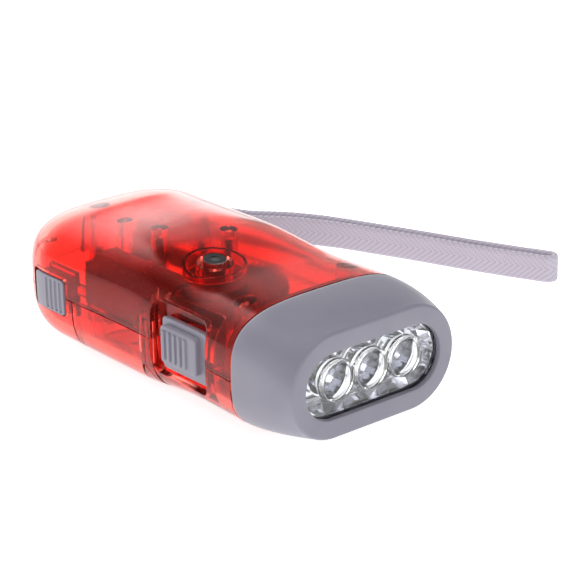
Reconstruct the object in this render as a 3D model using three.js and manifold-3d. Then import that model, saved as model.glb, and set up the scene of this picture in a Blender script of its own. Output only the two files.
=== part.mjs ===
// A squeeze-lever dynamo flashlight: a translucent two-shell body, a grey head
// with three LEDs, a lever that drives a generator through gears, and a wrist strap.
// Millimetres. +X points out of the lens, +Z up, -Y is the side with the lever.
// Z = 0 is the flat that the body rests on; X = 0 is about half way along the body.
import * as THREE from 'three';
import { mergeVertices } from 'three/addons/utils/BufferGeometryUtils.js';
import Module from 'manifold-3d';

const wasm = await Module();
wasm.setup();

// Body outline
const bodyLength = 105.6;
const tailReach = 52.5;
const headLength = 17.3;
const neckFromNose = 31.8;
const waistFromNose = 57.7;
const tailCapLength = 20.6;
const noseWidth = 45.8;
const noseHeight = 24;
const collarWidth = 50;
const collarHeight = 28.25;
const waistWidth = 46.4;
const waistHeight = 33.1;
const tailWidth = 47.4;
const tailHeight = 31.8;
const wall = 2;
const restFlatDepth = 0.5;
const partingDrop = 0.5;
const sectionPower = 3.33;
const capWidthPower = 2.28;
const capHeightPower = 2.19;
const neckEasePower = 1.4;
const headEasePower = 1.75;
const stadiumPower = 3.5;

// Clearances
const seamGap = 0.3;
const runningGap = 0.35;
const slideGap = 0.3;
const boreGap = 0.08;
const overrun = 1;
const facetTolerance = 0.02;

// Head
const windowWidth = 37.6;
const windowHeight = 14.8;
const windowFlare = 0.5;
const noseEdge = 0.8;
const frontWall = 1.15;
const lensThickness = 1.2;
const lensLip = 0.9;
const spigotLength = 3.2;
const spigotWall = 1.2;
const trayDepth = 5;
const trayWall = 0.6;
const cupPitch = 9.5;
const lampRise = 0.5;
const cupMouthRadius = 4.4;
const cupWall = 0.4;
const cupDepth = 6;
const discRadius = 4.55;
const discEdge = 1.6;
const discProud = 0.8;
const discCrown = 1.5;
const ledRadius = 2.5;
const ledLength = 5.4;
const ledFlangeRadius = 2.9;
const ledFlangeHeight = 1;
const boardThickness = 1.2;
const ledBoardInset = 4.65;
const ledBoardHeight = 13;
const boardRibThickness = 1.4;
const boardRibHeight = 6;

// Lever and its pin
const leverPinX = 3;
const leverBarrelRadius = 2.8;
const leverReach = 26.35;
const leverWrapY = -13;
const leverSwing = THREE.MathUtils.degToRad(24);
const leverBarrelHeight = 7;
const leverLugThickness = 1;
const leverLugWidth = 2.5;
const leverTurnRadius = 4;
const pinRadius = 1;
const pinRise = 3;
const pinFoot = 1.8;
const pinArmWidth = 1.5;
const pinArmDepth = 1;

// Gear train: tooth counts, modules and layers, counted up from the lowest pinion
const leverModule = 0.8;
const trainModule = 0.6;
const sectorTeeth = 46;
const drivePinionTeeth = 10;
const driveWheelTeeth = 38;
const secondPinionTeeth = 14;
const secondWheelTeeth = 44;
const rotorPinionTeeth = 14;
const pressureAngle = THREE.MathUtils.degToRad(25);
const addendumShare = 0.8;
const dedendumShare = 1.1;
const toothSlackShare = 0.2;
const straightFlankTeeth = 20;
const driveBearing = THREE.MathUtils.degToRad(137.2);
const secondBearing = THREE.MathUtils.degToRad(44.6);
const rotorBearing = THREE.MathUtils.degToRad(-48.6);
const trainFloor = -9;
const drivePinionFace = 4.8;
const sectorThickness = 2.5;
const wheelThickness = 2;
const layerGap = 1;
const faceOverlap = 0.4;
const rimDepth = 2.6;
const hubRadius = 3;
const webInset = 0.5;
const axleRadius = 0.9;
const postRadius = 1.9;

// Generator
const magnetRadius = 7;
const magnetHeight = 6.4;
const magnetBore = 1.9;
const poleGap = 0.45;
const poleThickness = 3;
const coreHeight = 3;
const coilLegWidth = 2.6;
const backLegWidth = 3.3;
const yokeWidth = 3.5;
const yokeX = -25.5;
const coreSeatBearing = THREE.MathUtils.degToRad(60);
const coilStartX = -19.8;
const coilLength = 18.6;
const flangeThickness = 0.9;
const flangeHalfWidth = 3;
const flangeHalfHeight = 3.2;
const flangeClip = 1.7;
const bobbinWall = 0.5;
const bobbinClip = 0.6;
const bobbinGap = 0.15;
const wireRadius = 0.42;
const wirePitch = 1.3;
const wireTurns = 12;
const wireSteps = 12;
const wireSides = 6;

// Grey cradle over the coil
const cradleLength = 28.5;
const cradleWall = 1;
const cradleInset = 0.41;
const coilRoom = 1.28;
const cradleRise = 10.3;
const cradleChamfer = 3.2;
const cradleFrontLength = 18;
const cradleSlant = 3;

// Slide switch
const pocketEndInset = 9.2;
const pocketDepth = 2.9;
const pocketTop = 9;
const pocketBottom = -8;
const plateLength = 15.6;
const plateHeight = 12;
const plateThickness = 1.5;
const plateEndGap = 1.2;
const padLength = 12.3;
const padHeight = 8.6;
const padRise = 1.5;
const padShift = 0.6;
const ribCount = 5;
const ribWidth = 0.9;
const ribRise = 0.5;
const switchTravel = 2.6;
const stemLength = 4.4;
const stemHeight = 2.6;
const switchCanLength = 9;
const switchCanHeight = 4.6;
const switchCanDepth = 3.4;
const stemReach = 1.6;

// Latch
const latchShift = 0.1;
const latchLength = 11.3;
const latchHeight = 8.4;
const latchCentre = -0.6;
const latchProud = 0.35;
const latchTravel = 1.5;
const latchPlateThickness = 1.2;
const latchPlateLip = 1;
const latchRibCount = 5;
const fingerReach = 5.6;
const fingerThickness = 1;
const fingerHeight = 2.1;
const fingerDrop = 2.6;
const fingerWidth = 1.6;

// Screws, boards and cell
const screwHeadRadius = 2.1;
const screwHeadHeight = 1.7;
const screwShankRadius = 1.1;
const screwShankLength = 15;
const screwSeat = -10.2;
const screwWell = 2.5;
const bossRadius = 3.5;
const bossTopRadius = 2.3;
const recessWidth = 0.6;
const recessLength = 2.4;
const recessDepth = 0.8;
const tailScrewInset = 16;
const tailScrewY = -5.3;
const rearScrewInset = 29;
const rearScrewY = 14;
const headScrewInset = 8.6;
const headScrewY = 15;
const pocketScrewInset = 7.6;
const pocketScrewY = -14;
const boardLength = 17.4;
const boardWidth = 20;
const boardLevel = -10;
const cellRadius = 5.6;
const cellLength = 14;
const cellY = 4.3;
const capacitorRadius = 2.5;
const capacitorHeight = 6;

// Return spring
const springX = -1;
const springY = -9;
const springRadius = 2.3;
const springWire = 0.35;
const springPitch = 1.15;
const springTurns = 2.25;
const springFootLength = 5.5;
const springLegLength = 11;
const springLastAngle = THREE.MathUtils.degToRad(150);
const springSteps = 10;
const springPegRadius = 1.5;
const springStopRadius = 1;
const springStopShift = 1.1;

// Wrist strap
const strapWidth = 7;
const strapThickness = 1.6;
const strapLegGap = 3.4;
const strapSteps = 57;
const knotRadius = 3.5;
const knotLength = 5.6;

const axisZ = waistHeight / 2 - restFlatDepth;
const noseX = bodyLength - tailReach;
const tailX = -tailReach;
const collarX = noseX - headLength;
const neckX = noseX - neckFromNose;
const waistX = noseX - waistFromNose;
const capX = tailX + tailCapLength;
const partingZ = axisZ - partingDrop;
const topShellZ = partingZ + seamGap / 2;
const bottomShellZ = partingZ - seamGap / 2;
const farOut = bodyLength;
const latchX = capX + latchShift;
const boardX = neckX;
const ledBoardWidth = collarWidth - 2 * (wall + ledBoardInset);

// Plastics and metals
const redShell = new THREE.MeshStandardMaterial({ color: 0xe8322c, roughness: 0.15, metalness: 0 });
redShell.transparent = true;
redShell.opacity = 0.6;
const greyPlastic = new THREE.MeshStandardMaterial({ color: 0x8b8995, roughness: 0.55, metalness: 0 });
const darkPlastic = new THREE.MeshStandardMaterial({ color: 0x2b2a2e, roughness: 0.5, metalness: 0 });
const whitePlastic = new THREE.MeshStandardMaterial({ color: 0xe9e6df, roughness: 0.5, metalness: 0 });
const steel = new THREE.MeshStandardMaterial({ color: 0xb8babd, roughness: 0.3, metalness: 1 });
const copper = new THREE.MeshStandardMaterial({ color: 0xb5651d, roughness: 0.35, metalness: 1 });
const darkMetal = new THREE.MeshStandardMaterial({ color: 0x4a4a4f, roughness: 0.45, metalness: 1 });
const mirror = new THREE.MeshStandardMaterial({ color: 0xe6e6ea, roughness: 0.06, metalness: 1 });
const clear = new THREE.MeshStandardMaterial({ color: 0xf4f7f8, roughness: 0.04, metalness: 0 });
const boardGreen = new THREE.MeshStandardMaterial({ color: 0x2f6b45, roughness: 0.5, metalness: 0 });
const strapFabric = new THREE.MeshStandardMaterial({ color: 0xcfc4d2, roughness: 0.9, metalness: 0 });

// Closed solids and the joins and cuts between them
function solid(geometry) {
  const bare = geometry.clone();
  bare.deleteAttribute('normal');
  bare.deleteAttribute('uv');
  const merged = mergeVertices(bare, 1e-4);
  return new wasm.Manifold(new wasm.Mesh({
    numProp: 3,
    vertProperties: merged.attributes.position.array,
    triVerts: new Uint32Array(merged.index.array),
  }));
}

function geometryOf(body) {
  const mesh = body.simplify(facetTolerance).getMesh();
  const geometry = new THREE.BufferGeometry();
  geometry.setAttribute('position', new THREE.BufferAttribute(mesh.vertProperties, mesh.numProp));
  geometry.setIndex(new THREE.BufferAttribute(mesh.triVerts, 1));
  geometry.computeVertexNormals();
  return geometry;
}

function join(...bodies) {
  return bodies.reduce((sum, body) => sum.add(body));
}

function block(x, y, z) {
  const box = new THREE.BoxGeometry(x[1] - x[0], y[1] - y[0], z[1] - z[0]);
  box.translate((x[0] + x[1]) / 2, (y[0] + y[1]) / 2, (z[0] + z[1]) / 2);
  return solid(box);
}

function post(place, z, radius, sides = 14) {
  const rod = new THREE.CylinderGeometry(radius, radius, z[1] - z[0], sides);
  rod.rotateX(Math.PI / 2);
  rod.translate(place.x, place.y, (z[0] + z[1]) / 2);
  return solid(rod);
}

function prism(points, z) {
  const plate = new THREE.ExtrudeGeometry(new THREE.Shape(points), { depth: z[1] - z[0], bevelEnabled: false });
  plate.translate(0, 0, z[0]);
  return solid(plate);
}

// An outline in Y and Z drawn out along X
function barAlongX(points, x) {
  const bar = new THREE.ExtrudeGeometry(new THREE.Shape(points), { depth: x[1] - x[0], bevelEnabled: false });
  bar.applyMatrix4(new THREE.Matrix4().makeBasis(
    new THREE.Vector3(0, 1, 0),
    new THREE.Vector3(0, 0, 1),
    new THREE.Vector3(1, 0, 0),
  ));
  bar.translate(x[0], 0, 0);
  return solid(bar);
}

// Rings of equal count joined into one closed skin
function loft(rings) {
  const count = rings[0].length;
  const corners = rings.flat().concat([middle(rings[0]), middle(rings[rings.length - 1])]);
  const faces = [];
  for (let r = 0; r < rings.length - 1; r++) {
    for (let i = 0; i < count; i++) {
      const a = r * count + i;
      const b = r * count + (i + 1) % count;
      faces.push(a, b, a + count, b, b + count, a + count);
    }
  }
  const first = rings.length * count;
  const lastRing = first - count;
  for (let i = 0; i < count; i++) {
    const next = (i + 1) % count;
    faces.push(first, next, i, first + 1, lastRing + i, lastRing + next);
  }
  const skin = new THREE.BufferGeometry();
  skin.setAttribute('position', new THREE.Float32BufferAttribute(corners.flatMap((p) => p.toArray()), 3));
  skin.setIndex(faces);
  return solid(skin);
}

function middle(ring) {
  const sum = ring.reduce((total, point) => total.add(point), new THREE.Vector3());
  return sum.divideScalar(ring.length);
}

// Superellipse ring at X with half sizes, seen along +X
function roundedRing(x, halfWidth, halfHeight, count) {
  const power = 2 / sectionPower;
  return Array.from({ length: count }, (_, i) => {
    const angle = i / count * 2 * Math.PI;
    const c = Math.cos(angle);
    const s = Math.sin(angle);
    const y = halfWidth * Math.sign(c) * Math.abs(c) ** power;
    const z = halfHeight * Math.sign(s) * Math.abs(s) ** power;
    return new THREE.Vector3(x, y, axisZ + z);
  });
}

function stadiumRing(x, width, height, count) {
  const radius = height / 2;
  const flat = width / 2 - radius;
  return Array.from({ length: count }, (_, i) => {
    const angle = i / count * 2 * Math.PI;
    const aim = new THREE.Vector2(width / 2 * Math.cos(angle), radius * Math.sin(angle));
    const along = THREE.MathUtils.clamp(aim.x, -flat, flat);
    const way = new THREE.Vector2(aim.x - along, aim.y);
    if (way.lengthSq() === 0) way.set(0, 1);
    way.setLength(radius);
    return new THREE.Vector3(x, along + way.x, axisZ + way.y);
  });
}

function ease(share) {
  return share * share * (3 - 2 * share);
}

// Half width and half height of the body's skin, set in by a wall
function bodyHalf(x, inset) {
  const fromWaist = THREE.MathUtils.clamp((x - waistX) / (collarX - waistX), 0, 1);
  const towardsTail = THREE.MathUtils.clamp((waistX - x) / (waistX - capX), 0, 1);
  const fromNeck = THREE.MathUtils.clamp((neckX - x) / (neckX - waistX), 0, 1);
  let width = waistWidth + (collarWidth - waistWidth) * fromWaist ** neckEasePower;
  let height = collarHeight + (waistHeight - collarHeight) * ease(fromNeck);
  if (x < waistX) {
    width = waistWidth + (tailWidth - waistWidth) * ease(towardsTail);
    height = waistHeight + (tailHeight - waistHeight) * ease(towardsTail);
  }
  const cap = Math.min(Math.max(capX - x, 0) / (tailCapLength - inset), 1);
  return {
    y: (width / 2 - inset) * (1 - cap ** capWidthPower) ** (1 / capWidthPower),
    z: (height / 2 - inset) * (1 - cap ** capHeightPower) ** (1 / capHeightPower),
  };
}

function bodyStations(steps, capSteps, inset) {
  const places = [];
  for (let i = capSteps - 1; i > 0; i--) {
    places.push(capX - (tailCapLength - inset) * Math.sin(i / capSteps * Math.PI / 2));
  }
  for (let i = 0; i <= steps; i++) places.push(capX + (collarX - capX) * i / steps);
  return places;
}

// The body's skin as a filled form, from the tail to the collar
function bodyForm(inset, count, steps, capSteps, reach) {
  const rings = bodyStations(steps, capSteps, inset).map((x) => {
    const half = bodyHalf(x, inset);
    return roundedRing(x, half.y, half.z, count);
  });
  const tipX = tailX + inset;
  rings.unshift(rings[0].map(() => new THREE.Vector3(tipX, 0, axisZ)));
  if (reach > 0) {
    const half = bodyHalf(collarX, inset);
    rings.push(roundedRing(collarX + reach, half.y, half.z, count));
  }
  return loft(rings);
}

// Skin of the head: the collar's rounded section turns into the nose's stadium
function headRing(share, inset, x, count) {
  const bent = share ** headEasePower;
  const width = collarWidth + (noseWidth - collarWidth) * bent - 2 * inset;
  const height = collarHeight + (noseHeight - collarHeight) * bent - 2 * inset;
  const round = roundedRing(x, width / 2, height / 2, count);
  const flat = stadiumRing(x, width, height, count);
  return round.map((point, i) => point.lerp(flat[i], share ** stadiumPower));
}

function above(z) {
  return block([-farOut, farOut], [-farOut, farOut], [z, z + farOut]);
}

function below(z) {
  return block([-farOut, farOut], [-farOut, farOut], [z - farOut, z]);
}

const skinCount = 44;
const liningCount = 28;
const skin = bodyForm(0, skinCount, 12, 8, 0);
const lining = bodyForm(wall, liningCount, 8, 5, overrun);
const insideFit = bodyForm(wall + slideGap, liningCount, 8, 5, overrun);

// Centres of the turning parts, seen from above
const leverPin = new THREE.Vector2(leverPinX, leverBarrelRadius - bodyHalf(leverPinX, 0).y);
const driveCentre = from(leverPin, driveBearing, (sectorTeeth + drivePinionTeeth) * leverModule / 2);
const secondCentre = from(driveCentre, secondBearing, (driveWheelTeeth + secondPinionTeeth) * trainModule / 2);
const rotorCentre = from(secondCentre, rotorBearing, (secondWheelTeeth + rotorPinionTeeth) * trainModule / 2);

function from(place, bearing, distance) {
  return new THREE.Vector2(Math.cos(bearing), Math.sin(bearing)).multiplyScalar(distance).add(place);
}

// Layers of the train, in Z
const pinionLow = axisZ + trainFloor;
const driveWheelLow = pinionLow + drivePinionFace;
const driveWheelHigh = driveWheelLow + wheelThickness;
const secondWheelLow = driveWheelHigh + layerGap;
const secondWheelHigh = secondWheelLow + wheelThickness;
const rotorPinionHigh = secondWheelHigh + faceOverlap;
const magnetLow = rotorPinionHigh + layerGap;
const magnetHigh = magnetLow + magnetHeight;
const coreLow = magnetLow + (magnetHeight - coreHeight) / 2;
const coreHigh = coreLow + coreHeight;
const sectorLow = pinionLow + (drivePinionFace - sectorThickness) / 4;
const sectorHigh = sectorLow + sectorThickness;
const barrelLow = bottomShellZ - leverBarrelHeight;

// Toothed outlines whose flanks follow the involute at root, pitch and tip; a wheel has root and tip alone
function gearOutline(teeth, module, phase) {
  const straight = teeth > straightFlankTeeth;
  const pitch = teeth * module / 2;
  const base = pitch * Math.cos(pressureAngle);
  const involute = (angle) => Math.tan(angle) - angle;
  const halfAngle = (radius) => {
    const at = radius > base ? Math.acos(base / radius) : 0;
    return Math.PI / (2 * teeth) * (1 - toothSlackShare) + involute(pressureAngle) - involute(at);
  };
  const root = pitch - dedendumShare * module;
  const tip = pitch + addendumShare * module;
  const radii = straight ? [root, tip] : [root, pitch, tip];
  const points = [];
  for (let tooth = 0; tooth < teeth; tooth++) {
    const centre = phase + tooth / teeth * 2 * Math.PI;
    for (const radius of radii) points.push(polar(radius, centre - halfAngle(radius)));
    for (const radius of [...radii].reverse()) points.push(polar(radius, centre + halfAngle(radius)));
  }
  return points;
}

function polar(radius, angle) {
  return new THREE.Vector2(radius * Math.cos(angle), radius * Math.sin(angle));
}

// Phase that puts a gap of the second gear on a tooth of the first
function meshedPhase(phase, teeth, bearing, nextTeeth) {
  const turns = (bearing - phase) * teeth / (2 * Math.PI);
  return bearing + Math.PI - (0.5 - (turns - Math.floor(turns))) * 2 * Math.PI / nextTeeth;
}

const sectorPhase = driveBearing;
const drivePinionPhase = meshedPhase(sectorPhase, sectorTeeth, driveBearing, drivePinionTeeth);
const driveWheelPhase = drivePinionPhase;
const secondPinionPhase = meshedPhase(driveWheelPhase, driveWheelTeeth, secondBearing, secondPinionTeeth);
const secondWheelPhase = secondPinionPhase;
const rotorPinionPhase = meshedPhase(secondWheelPhase, secondWheelTeeth, rotorBearing, rotorPinionTeeth);

function gear(centre, teeth, module, phase, z) {
  return prism(gearOutline(teeth, module, phase), z).translate([centre.x, centre.y, 0]);
}

function compoundGear(centre, pinion, wheel) {
  const rim = wheel.teeth * trainModule / 2 - rimDepth;
  const ring = (z) => post(centre, z, rim, 24).subtract(post(centre, z, hubRadius + webInset * 2, 24));
  return join(
    gear(centre, pinion.teeth, pinion.module, pinion.phase, pinion.z),
    gear(centre, wheel.teeth, trainModule, wheel.phase, wheel.z),
    post(centre, [pinion.z[0], wheel.z[1] + webInset], hubRadius - webInset),
  ).subtract(ring([wheel.z[1] - webInset, wheel.z[1] + overrun]))
    .subtract(post(centre, [pinion.z[0] - overrun, wheel.z[1] + overrun], axleRadius + boreGap));
}

function driveGear() {
  return compoundGear(
    driveCentre,
    { teeth: drivePinionTeeth, module: leverModule, phase: drivePinionPhase, z: [pinionLow, driveWheelLow] },
    { teeth: driveWheelTeeth, phase: driveWheelPhase, z: [driveWheelLow, driveWheelHigh] },
  );
}

function secondGear() {
  return compoundGear(
    secondCentre,
    {
      teeth: secondPinionTeeth,
      module: trainModule,
      phase: secondPinionPhase,
      z: [driveWheelLow - faceOverlap, secondWheelLow],
    },
    { teeth: secondWheelTeeth, phase: secondWheelPhase, z: [secondWheelLow, secondWheelHigh] },
  );
}

function rotorPinion() {
  const z = [secondWheelLow - faceOverlap, rotorPinionHigh];
  const sleeve = post(rotorCentre, [z[0], magnetHigh + layerGap / 2], magnetBore - boreGap);
  const collar = post(rotorCentre, [z[1], magnetLow - boreGap], hubRadius);
  return join(gear(rotorCentre, rotorPinionTeeth, trainModule, rotorPinionPhase, z), sleeve, collar)
    .subtract(post(rotorCentre, [z[0] - overrun, magnetHigh + overrun], axleRadius + boreGap));
}

function rotorMagnet() {
  return post(rotorCentre, [magnetLow, magnetHigh], magnetRadius, 32)
    .subtract(post(rotorCentre, [magnetLow - overrun, magnetHigh + overrun], magnetBore));
}

// Laminated core: a coil leg and a back leg from one yoke, with a pole shoe at each end
const shoeInner = magnetRadius + poleGap;
const shoeOuter = shoeInner + poleThickness;
const cradleFrontY = cradleInset - Math.min(bodyHalf(coilStartX, wall).y, bodyHalf(waistX, wall).y);
const coilLegY = cradleFrontY + cradleWall + coilRoom + flangeHalfWidth;
const backLegY = rotorCentre.y + shoeInner + backLegWidth / 2;

function statorCore() {
  const z = [coreLow, coreHigh];
  const yokeY = [coilLegY - coilLegWidth / 2, backLegY + backLegWidth / 2];
  const coilLeg = block([yokeX, rotorCentre.x], [yokeY[0], coilLegY + coilLegWidth / 2], z);
  const backLeg = block([yokeX, rotorCentre.x], [backLegY - backLegWidth / 2, yokeY[1]], z);
  const yoke = block([yokeX, yokeX + yokeWidth], yokeY, z);
  const shoes = post(rotorCentre, z, shoeOuter, 32)
    .subtract(block([-farOut, farOut], [rotorCentre.y - shoeInner / 2, rotorCentre.y + shoeInner / 2], z));
  return join(coilLeg, backLeg, yoke, shoes)
    .subtract(post(rotorCentre, [coreLow - overrun, coreHigh + overrun], shoeInner, 32));
}

// Bobbin on the coil leg, with flanges chamfered to clear the casing
const coilCentreZ = (coreLow + coreHigh) / 2;
const bobbinHalfY = coilLegWidth / 2 + bobbinGap + bobbinWall;
const bobbinHalfZ = coreHeight / 2 + bobbinGap + bobbinWall;

function clippedRectangle(centreY, centreZ, halfY, halfZ, clip) {
  return [
    [-halfY + clip, -halfZ], [halfY - clip, -halfZ], [halfY, -halfZ + clip], [halfY, halfZ - clip],
    [halfY - clip, halfZ], [-halfY + clip, halfZ], [-halfY, halfZ - clip], [-halfY, -halfZ + clip],
  ].map(([y, z]) => new THREE.Vector2(centreY + y, centreZ + z));
}

function coilBobbin() {
  const x = [coilStartX, coilStartX + coilLength];
  const flange = clippedRectangle(coilLegY, coilCentreZ, flangeHalfWidth, flangeHalfHeight, flangeClip);
  const bore = block(
    [x[0] - overrun, x[1] + overrun],
    [coilLegY - coilLegWidth / 2 - bobbinGap, coilLegY + coilLegWidth / 2 + bobbinGap],
    [coreLow - bobbinGap, coreHigh + bobbinGap],
  );
  return join(
    barAlongX(clippedRectangle(coilLegY, coilCentreZ, bobbinHalfY, bobbinHalfZ, bobbinClip), x),
    barAlongX(flange, [x[0], x[0] + flangeThickness]),
    barAlongX(flange, [x[1] - flangeThickness, x[1]]),
  ).subtract(bore);
}

// One unbroken tube through points, each ring square to the way it runs
function tubeAlong(points, radius, sides) {
  const up = new THREE.Vector3();
  const rings = points.map((point, i) => {
    const ahead = points[Math.min(i + 1, points.length - 1)];
    const behind = points[Math.max(i - 1, 0)];
    const way = ahead.clone().sub(behind).normalize();
    if (i === 0) up.set(way.z, way.x, way.y);
    const side = up.clone().cross(way).normalize();
    up.copy(way.clone().cross(side)).normalize();
    return Array.from({ length: sides }, (_, k) => {
      const angle = k / sides * 2 * Math.PI;
      return point.clone()
        .addScaledVector(side, radius * Math.cos(angle))
        .addScaledVector(up, radius * Math.sin(angle));
    });
  });
  return loft(rings);
}

// The outer layer of the winding, on the bobbin's tube
function windingPoints() {
  const halfY = bobbinHalfY + wireRadius + bobbinGap;
  const halfZ = bobbinHalfZ + wireRadius + bobbinGap;
  const startX = coilStartX + (coilLength - wireTurns * wirePitch) / 2;
  return Array.from({ length: wireTurns * wireSteps + 1 }, (_, i) => {
    const angle = i / wireSteps * 2 * Math.PI;
    const c = Math.cos(angle);
    const s = Math.sin(angle);
    return new THREE.Vector3(
      startX + i / wireSteps * wirePitch,
      coilLegY + halfY * Math.sign(c) * Math.sqrt(Math.abs(c)),
      coilCentreZ + halfZ * Math.sign(s) * Math.sqrt(Math.abs(s)),
    );
  });
}

// Smallest distance between points of a wound tube that are half a turn or more apart, less its thickness
function leastGap(points, radius, steps) {
  let least = Infinity;
  for (let i = 0; i < points.length; i++) {
    for (let j = i + Math.round(steps / 2); j < points.length; j++) {
      least = Math.min(least, points[i].distanceTo(points[j]));
    }
  }
  return least - 2 * radius;
}

function coilWinding() {
  return tubeAlong(windingPoints(), wireRadius, wireSides);
}

// Grey cradle that covers the coil: a front wall, a chamfer and a top
function coilCradle() {
  const x = [coilStartX - slideGap, coilStartX + cradleLength];
  const frontY = cradleFrontY;
  const backY = coilLegY + flangeHalfWidth;
  const low = topShellZ + slideGap;
  const high = low + cradleRise;
  const outline = [
    [frontY, low], [frontY, high - cradleChamfer], [frontY + cradleChamfer, high], [backY, high],
    [backY, high - cradleWall], [frontY + cradleChamfer + cradleWall / 2, high - cradleWall],
    [frontY + cradleWall, high - cradleChamfer - cradleWall / 2], [frontY + cradleWall, low],
  ].reverse().map(([y, z]) => new THREE.Vector2(y, z));
  const frontEnd = x[0] + cradleFrontLength;
  const slant = [
    [frontEnd, low - overrun], [frontEnd + cradleSlant, high - cradleChamfer],
    [x[1] + overrun, high - cradleChamfer], [x[1] + overrun, low - overrun],
  ].map(([px, pz]) => new THREE.Vector2(px, pz));
  const cut = new THREE.ExtrudeGeometry(new THREE.Shape(slant), { depth: farOut, bevelEnabled: false });
  cut.rotateX(Math.PI / 2);
  const besidePocket = block([leverPin.x, farOut], [-farOut, pocketBackY + slideGap], [low, high]);
  return barAlongX(outline, x).subtract(solid(cut)).subtract(besidePocket).intersect(insideFit);
}

// Lever: a piece of the body's skin that turns on the pin, with its barrel and end lug
function leverPlan(grow) {
  const reach = leverReach + grow;
  const away = [-farOut, leverPinX + grow];
  const sweep = post(leverPin, [axisZ - farOut, bottomShellZ + overrun], reach, 96)
    .intersect(block(away, [-farOut, leverWrapY + grow], [axisZ - farOut, bottomShellZ + overrun]));
  return sweep;
}

// The lever's end beyond the pin, up to the switch pocket and rounded about the pin
function leverEnd() {
  const z = [axisZ - farOut, bottomShellZ + overrun];
  const x = [leverPinX - overrun, pocketX[0]];
  return post(leverPin, z, leverTurnRadius, 32).intersect(block(x, [-farOut, farOut], z));
}

function pressLever() {
  const top = bottomShellZ;
  const plan = leverPlan(0).add(leverEnd());
  const lugY = latchPlateY + fingerWidth + slideGap;
  const shellPart = skin.subtract(lining).intersect(plan).intersect(below(top))
    .subtract(post(leverPin, [axisZ - farOut, barrelLow], postRadius + runningGap, 28));
  const barrel = post(leverPin, [barrelLow, top], leverBarrelRadius, 28).intersect(skin);
  const lug = skin.intersect(leverPlan(0)).intersect(below(top))
    .intersect(block(
      [leverPinX - leverReach, leverPinX - leverReach + leverLugThickness + seamGap],
      [lugY, lugY + leverLugWidth],
      [-farOut, top],
    ));
  return join(shellPart, barrel, lug)
    .subtract(post(leverPin, [barrelLow - overrun, top + overrun], pinRadius + boreGap));
}

// Toothed sector carried by the lever
function leverSector() {
  const z = [sectorLow, sectorHigh];
  const pitch = sectorTeeth * leverModule / 2;
  const margin = 2 * Math.PI / sectorTeeth;
  const first = driveBearing - leverSwing - margin;
  const last = driveBearing + margin;
  const wedge = wedgePoints(first, last, pitch + leverModule * 2);
  const rimInner = pitch - rimDepth * 1.5;
  const teeth = gear(leverPin, sectorTeeth, leverModule, sectorPhase, z)
    .intersect(prism(wedge, z).translate([leverPin.x, leverPin.y, 0]))
    .subtract(post(leverPin, z, rimInner, 48));
  const rootRadius = pitch - dedendumShare * leverModule - rimDepth / 4;
  const seat = Math.PI + margin / 2;
  const steps = 6;
  const bearings = Array.from({ length: steps + 1 }, (_, i) => first + (seat - first) * i / steps);
  const rim = bearings.map((bearing) => polar(rootRadius, bearing));
  const arm = [new THREE.Vector2(), ...rim];
  const plate = prism(arm, z).translate([leverPin.x, leverPin.y, 0])
    .subtract(post(leverPin, [z[0] - overrun, z[1] + overrun], leverBarrelRadius + runningGap, 28));
  const windowCentre = from(leverPin, driveBearing, pitch / 2);
  return join(teeth, plate)
    .subtract(post(windowCentre, [z[0] - overrun, z[1] + overrun], rimDepth * 1.2, 20))
    .intersect(insideFit);
}

function wedgePoints(first, last, radius) {
  const steps = 4;
  const bearings = Array.from({ length: steps + 1 }, (_, i) => first + (last - first) * i / steps);
  const rim = bearings.map((bearing) => polar(radius * 1.2, bearing));
  return [new THREE.Vector2(), ...rim];
}

function leverPinRod() {
  return post(leverPin, [barrelLow - pinFoot, topShellZ + pinRise], pinRadius, 16);
}

// Switch pocket in the side of both shells
const pocketX = [leverPinX + leverBarrelRadius + runningGap, collarX - pocketEndInset];
const pocketFloorY = -(bodyHalf((pocketX[0] + pocketX[1]) / 2, 0).y - pocketDepth);
const pocketBackY = pocketFloorY + wall;

function roundedRectangle(x, z, radius) {
  const shape = new THREE.Shape();
  shape.absarc(x[1] - radius, z[1] - radius, radius, 0, Math.PI / 2, false);
  shape.absarc(x[0] + radius, z[1] - radius, radius, Math.PI / 2, Math.PI, false);
  shape.absarc(x[0] + radius, z[0] + radius, radius, Math.PI, 3 * Math.PI / 2, false);
  shape.absarc(x[1] - radius, z[0] + radius, radius, 3 * Math.PI / 2, 2 * Math.PI, false);
  shape.closePath();
  return shape;
}

// An outline in X and Z drawn out along Y
function slab(shape, y, segments = 4) {
  const options = { depth: y[1] - y[0], bevelEnabled: false, curveSegments: segments };
  const plate = new THREE.ExtrudeGeometry(shape, options);
  plate.rotateX(Math.PI / 2);
  plate.translate(0, y[1], 0);
  return solid(plate);
}

function pocketCut(grow) {
  const x = [pocketX[0] - grow, pocketX[1] + grow];
  const z = [axisZ + pocketBottom - grow, axisZ + pocketTop + grow];
  const back = grow > 0 ? pocketBackY : pocketFloorY;
  return slab(roundedRectangle(x, z, pocketDepth), [-farOut, back]);
}

const stemX = pocketX[1] - plateEndGap - plateLength / 2;

function stemSlot() {
  return block(
    [stemX - stemLength / 2 - switchTravel - slideGap, stemX + stemLength / 2 + slideGap],
    [pocketFloorY - overrun, pocketBackY + overrun],
    [axisZ - stemHeight / 2 - slideGap, axisZ + stemHeight / 2 + slideGap],
  );
}

function ribs(x, z, outerY, count, rise) {
  const pitch = (x[1] - x[0]) / (count * 2 + 1);
  return Array.from({ length: count }, (_, i) => {
    const start = x[0] + pitch * (2 * i + 1);
    return block([start, start + pitch], [outerY - rise, outerY + rise], z);
  });
}

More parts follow.
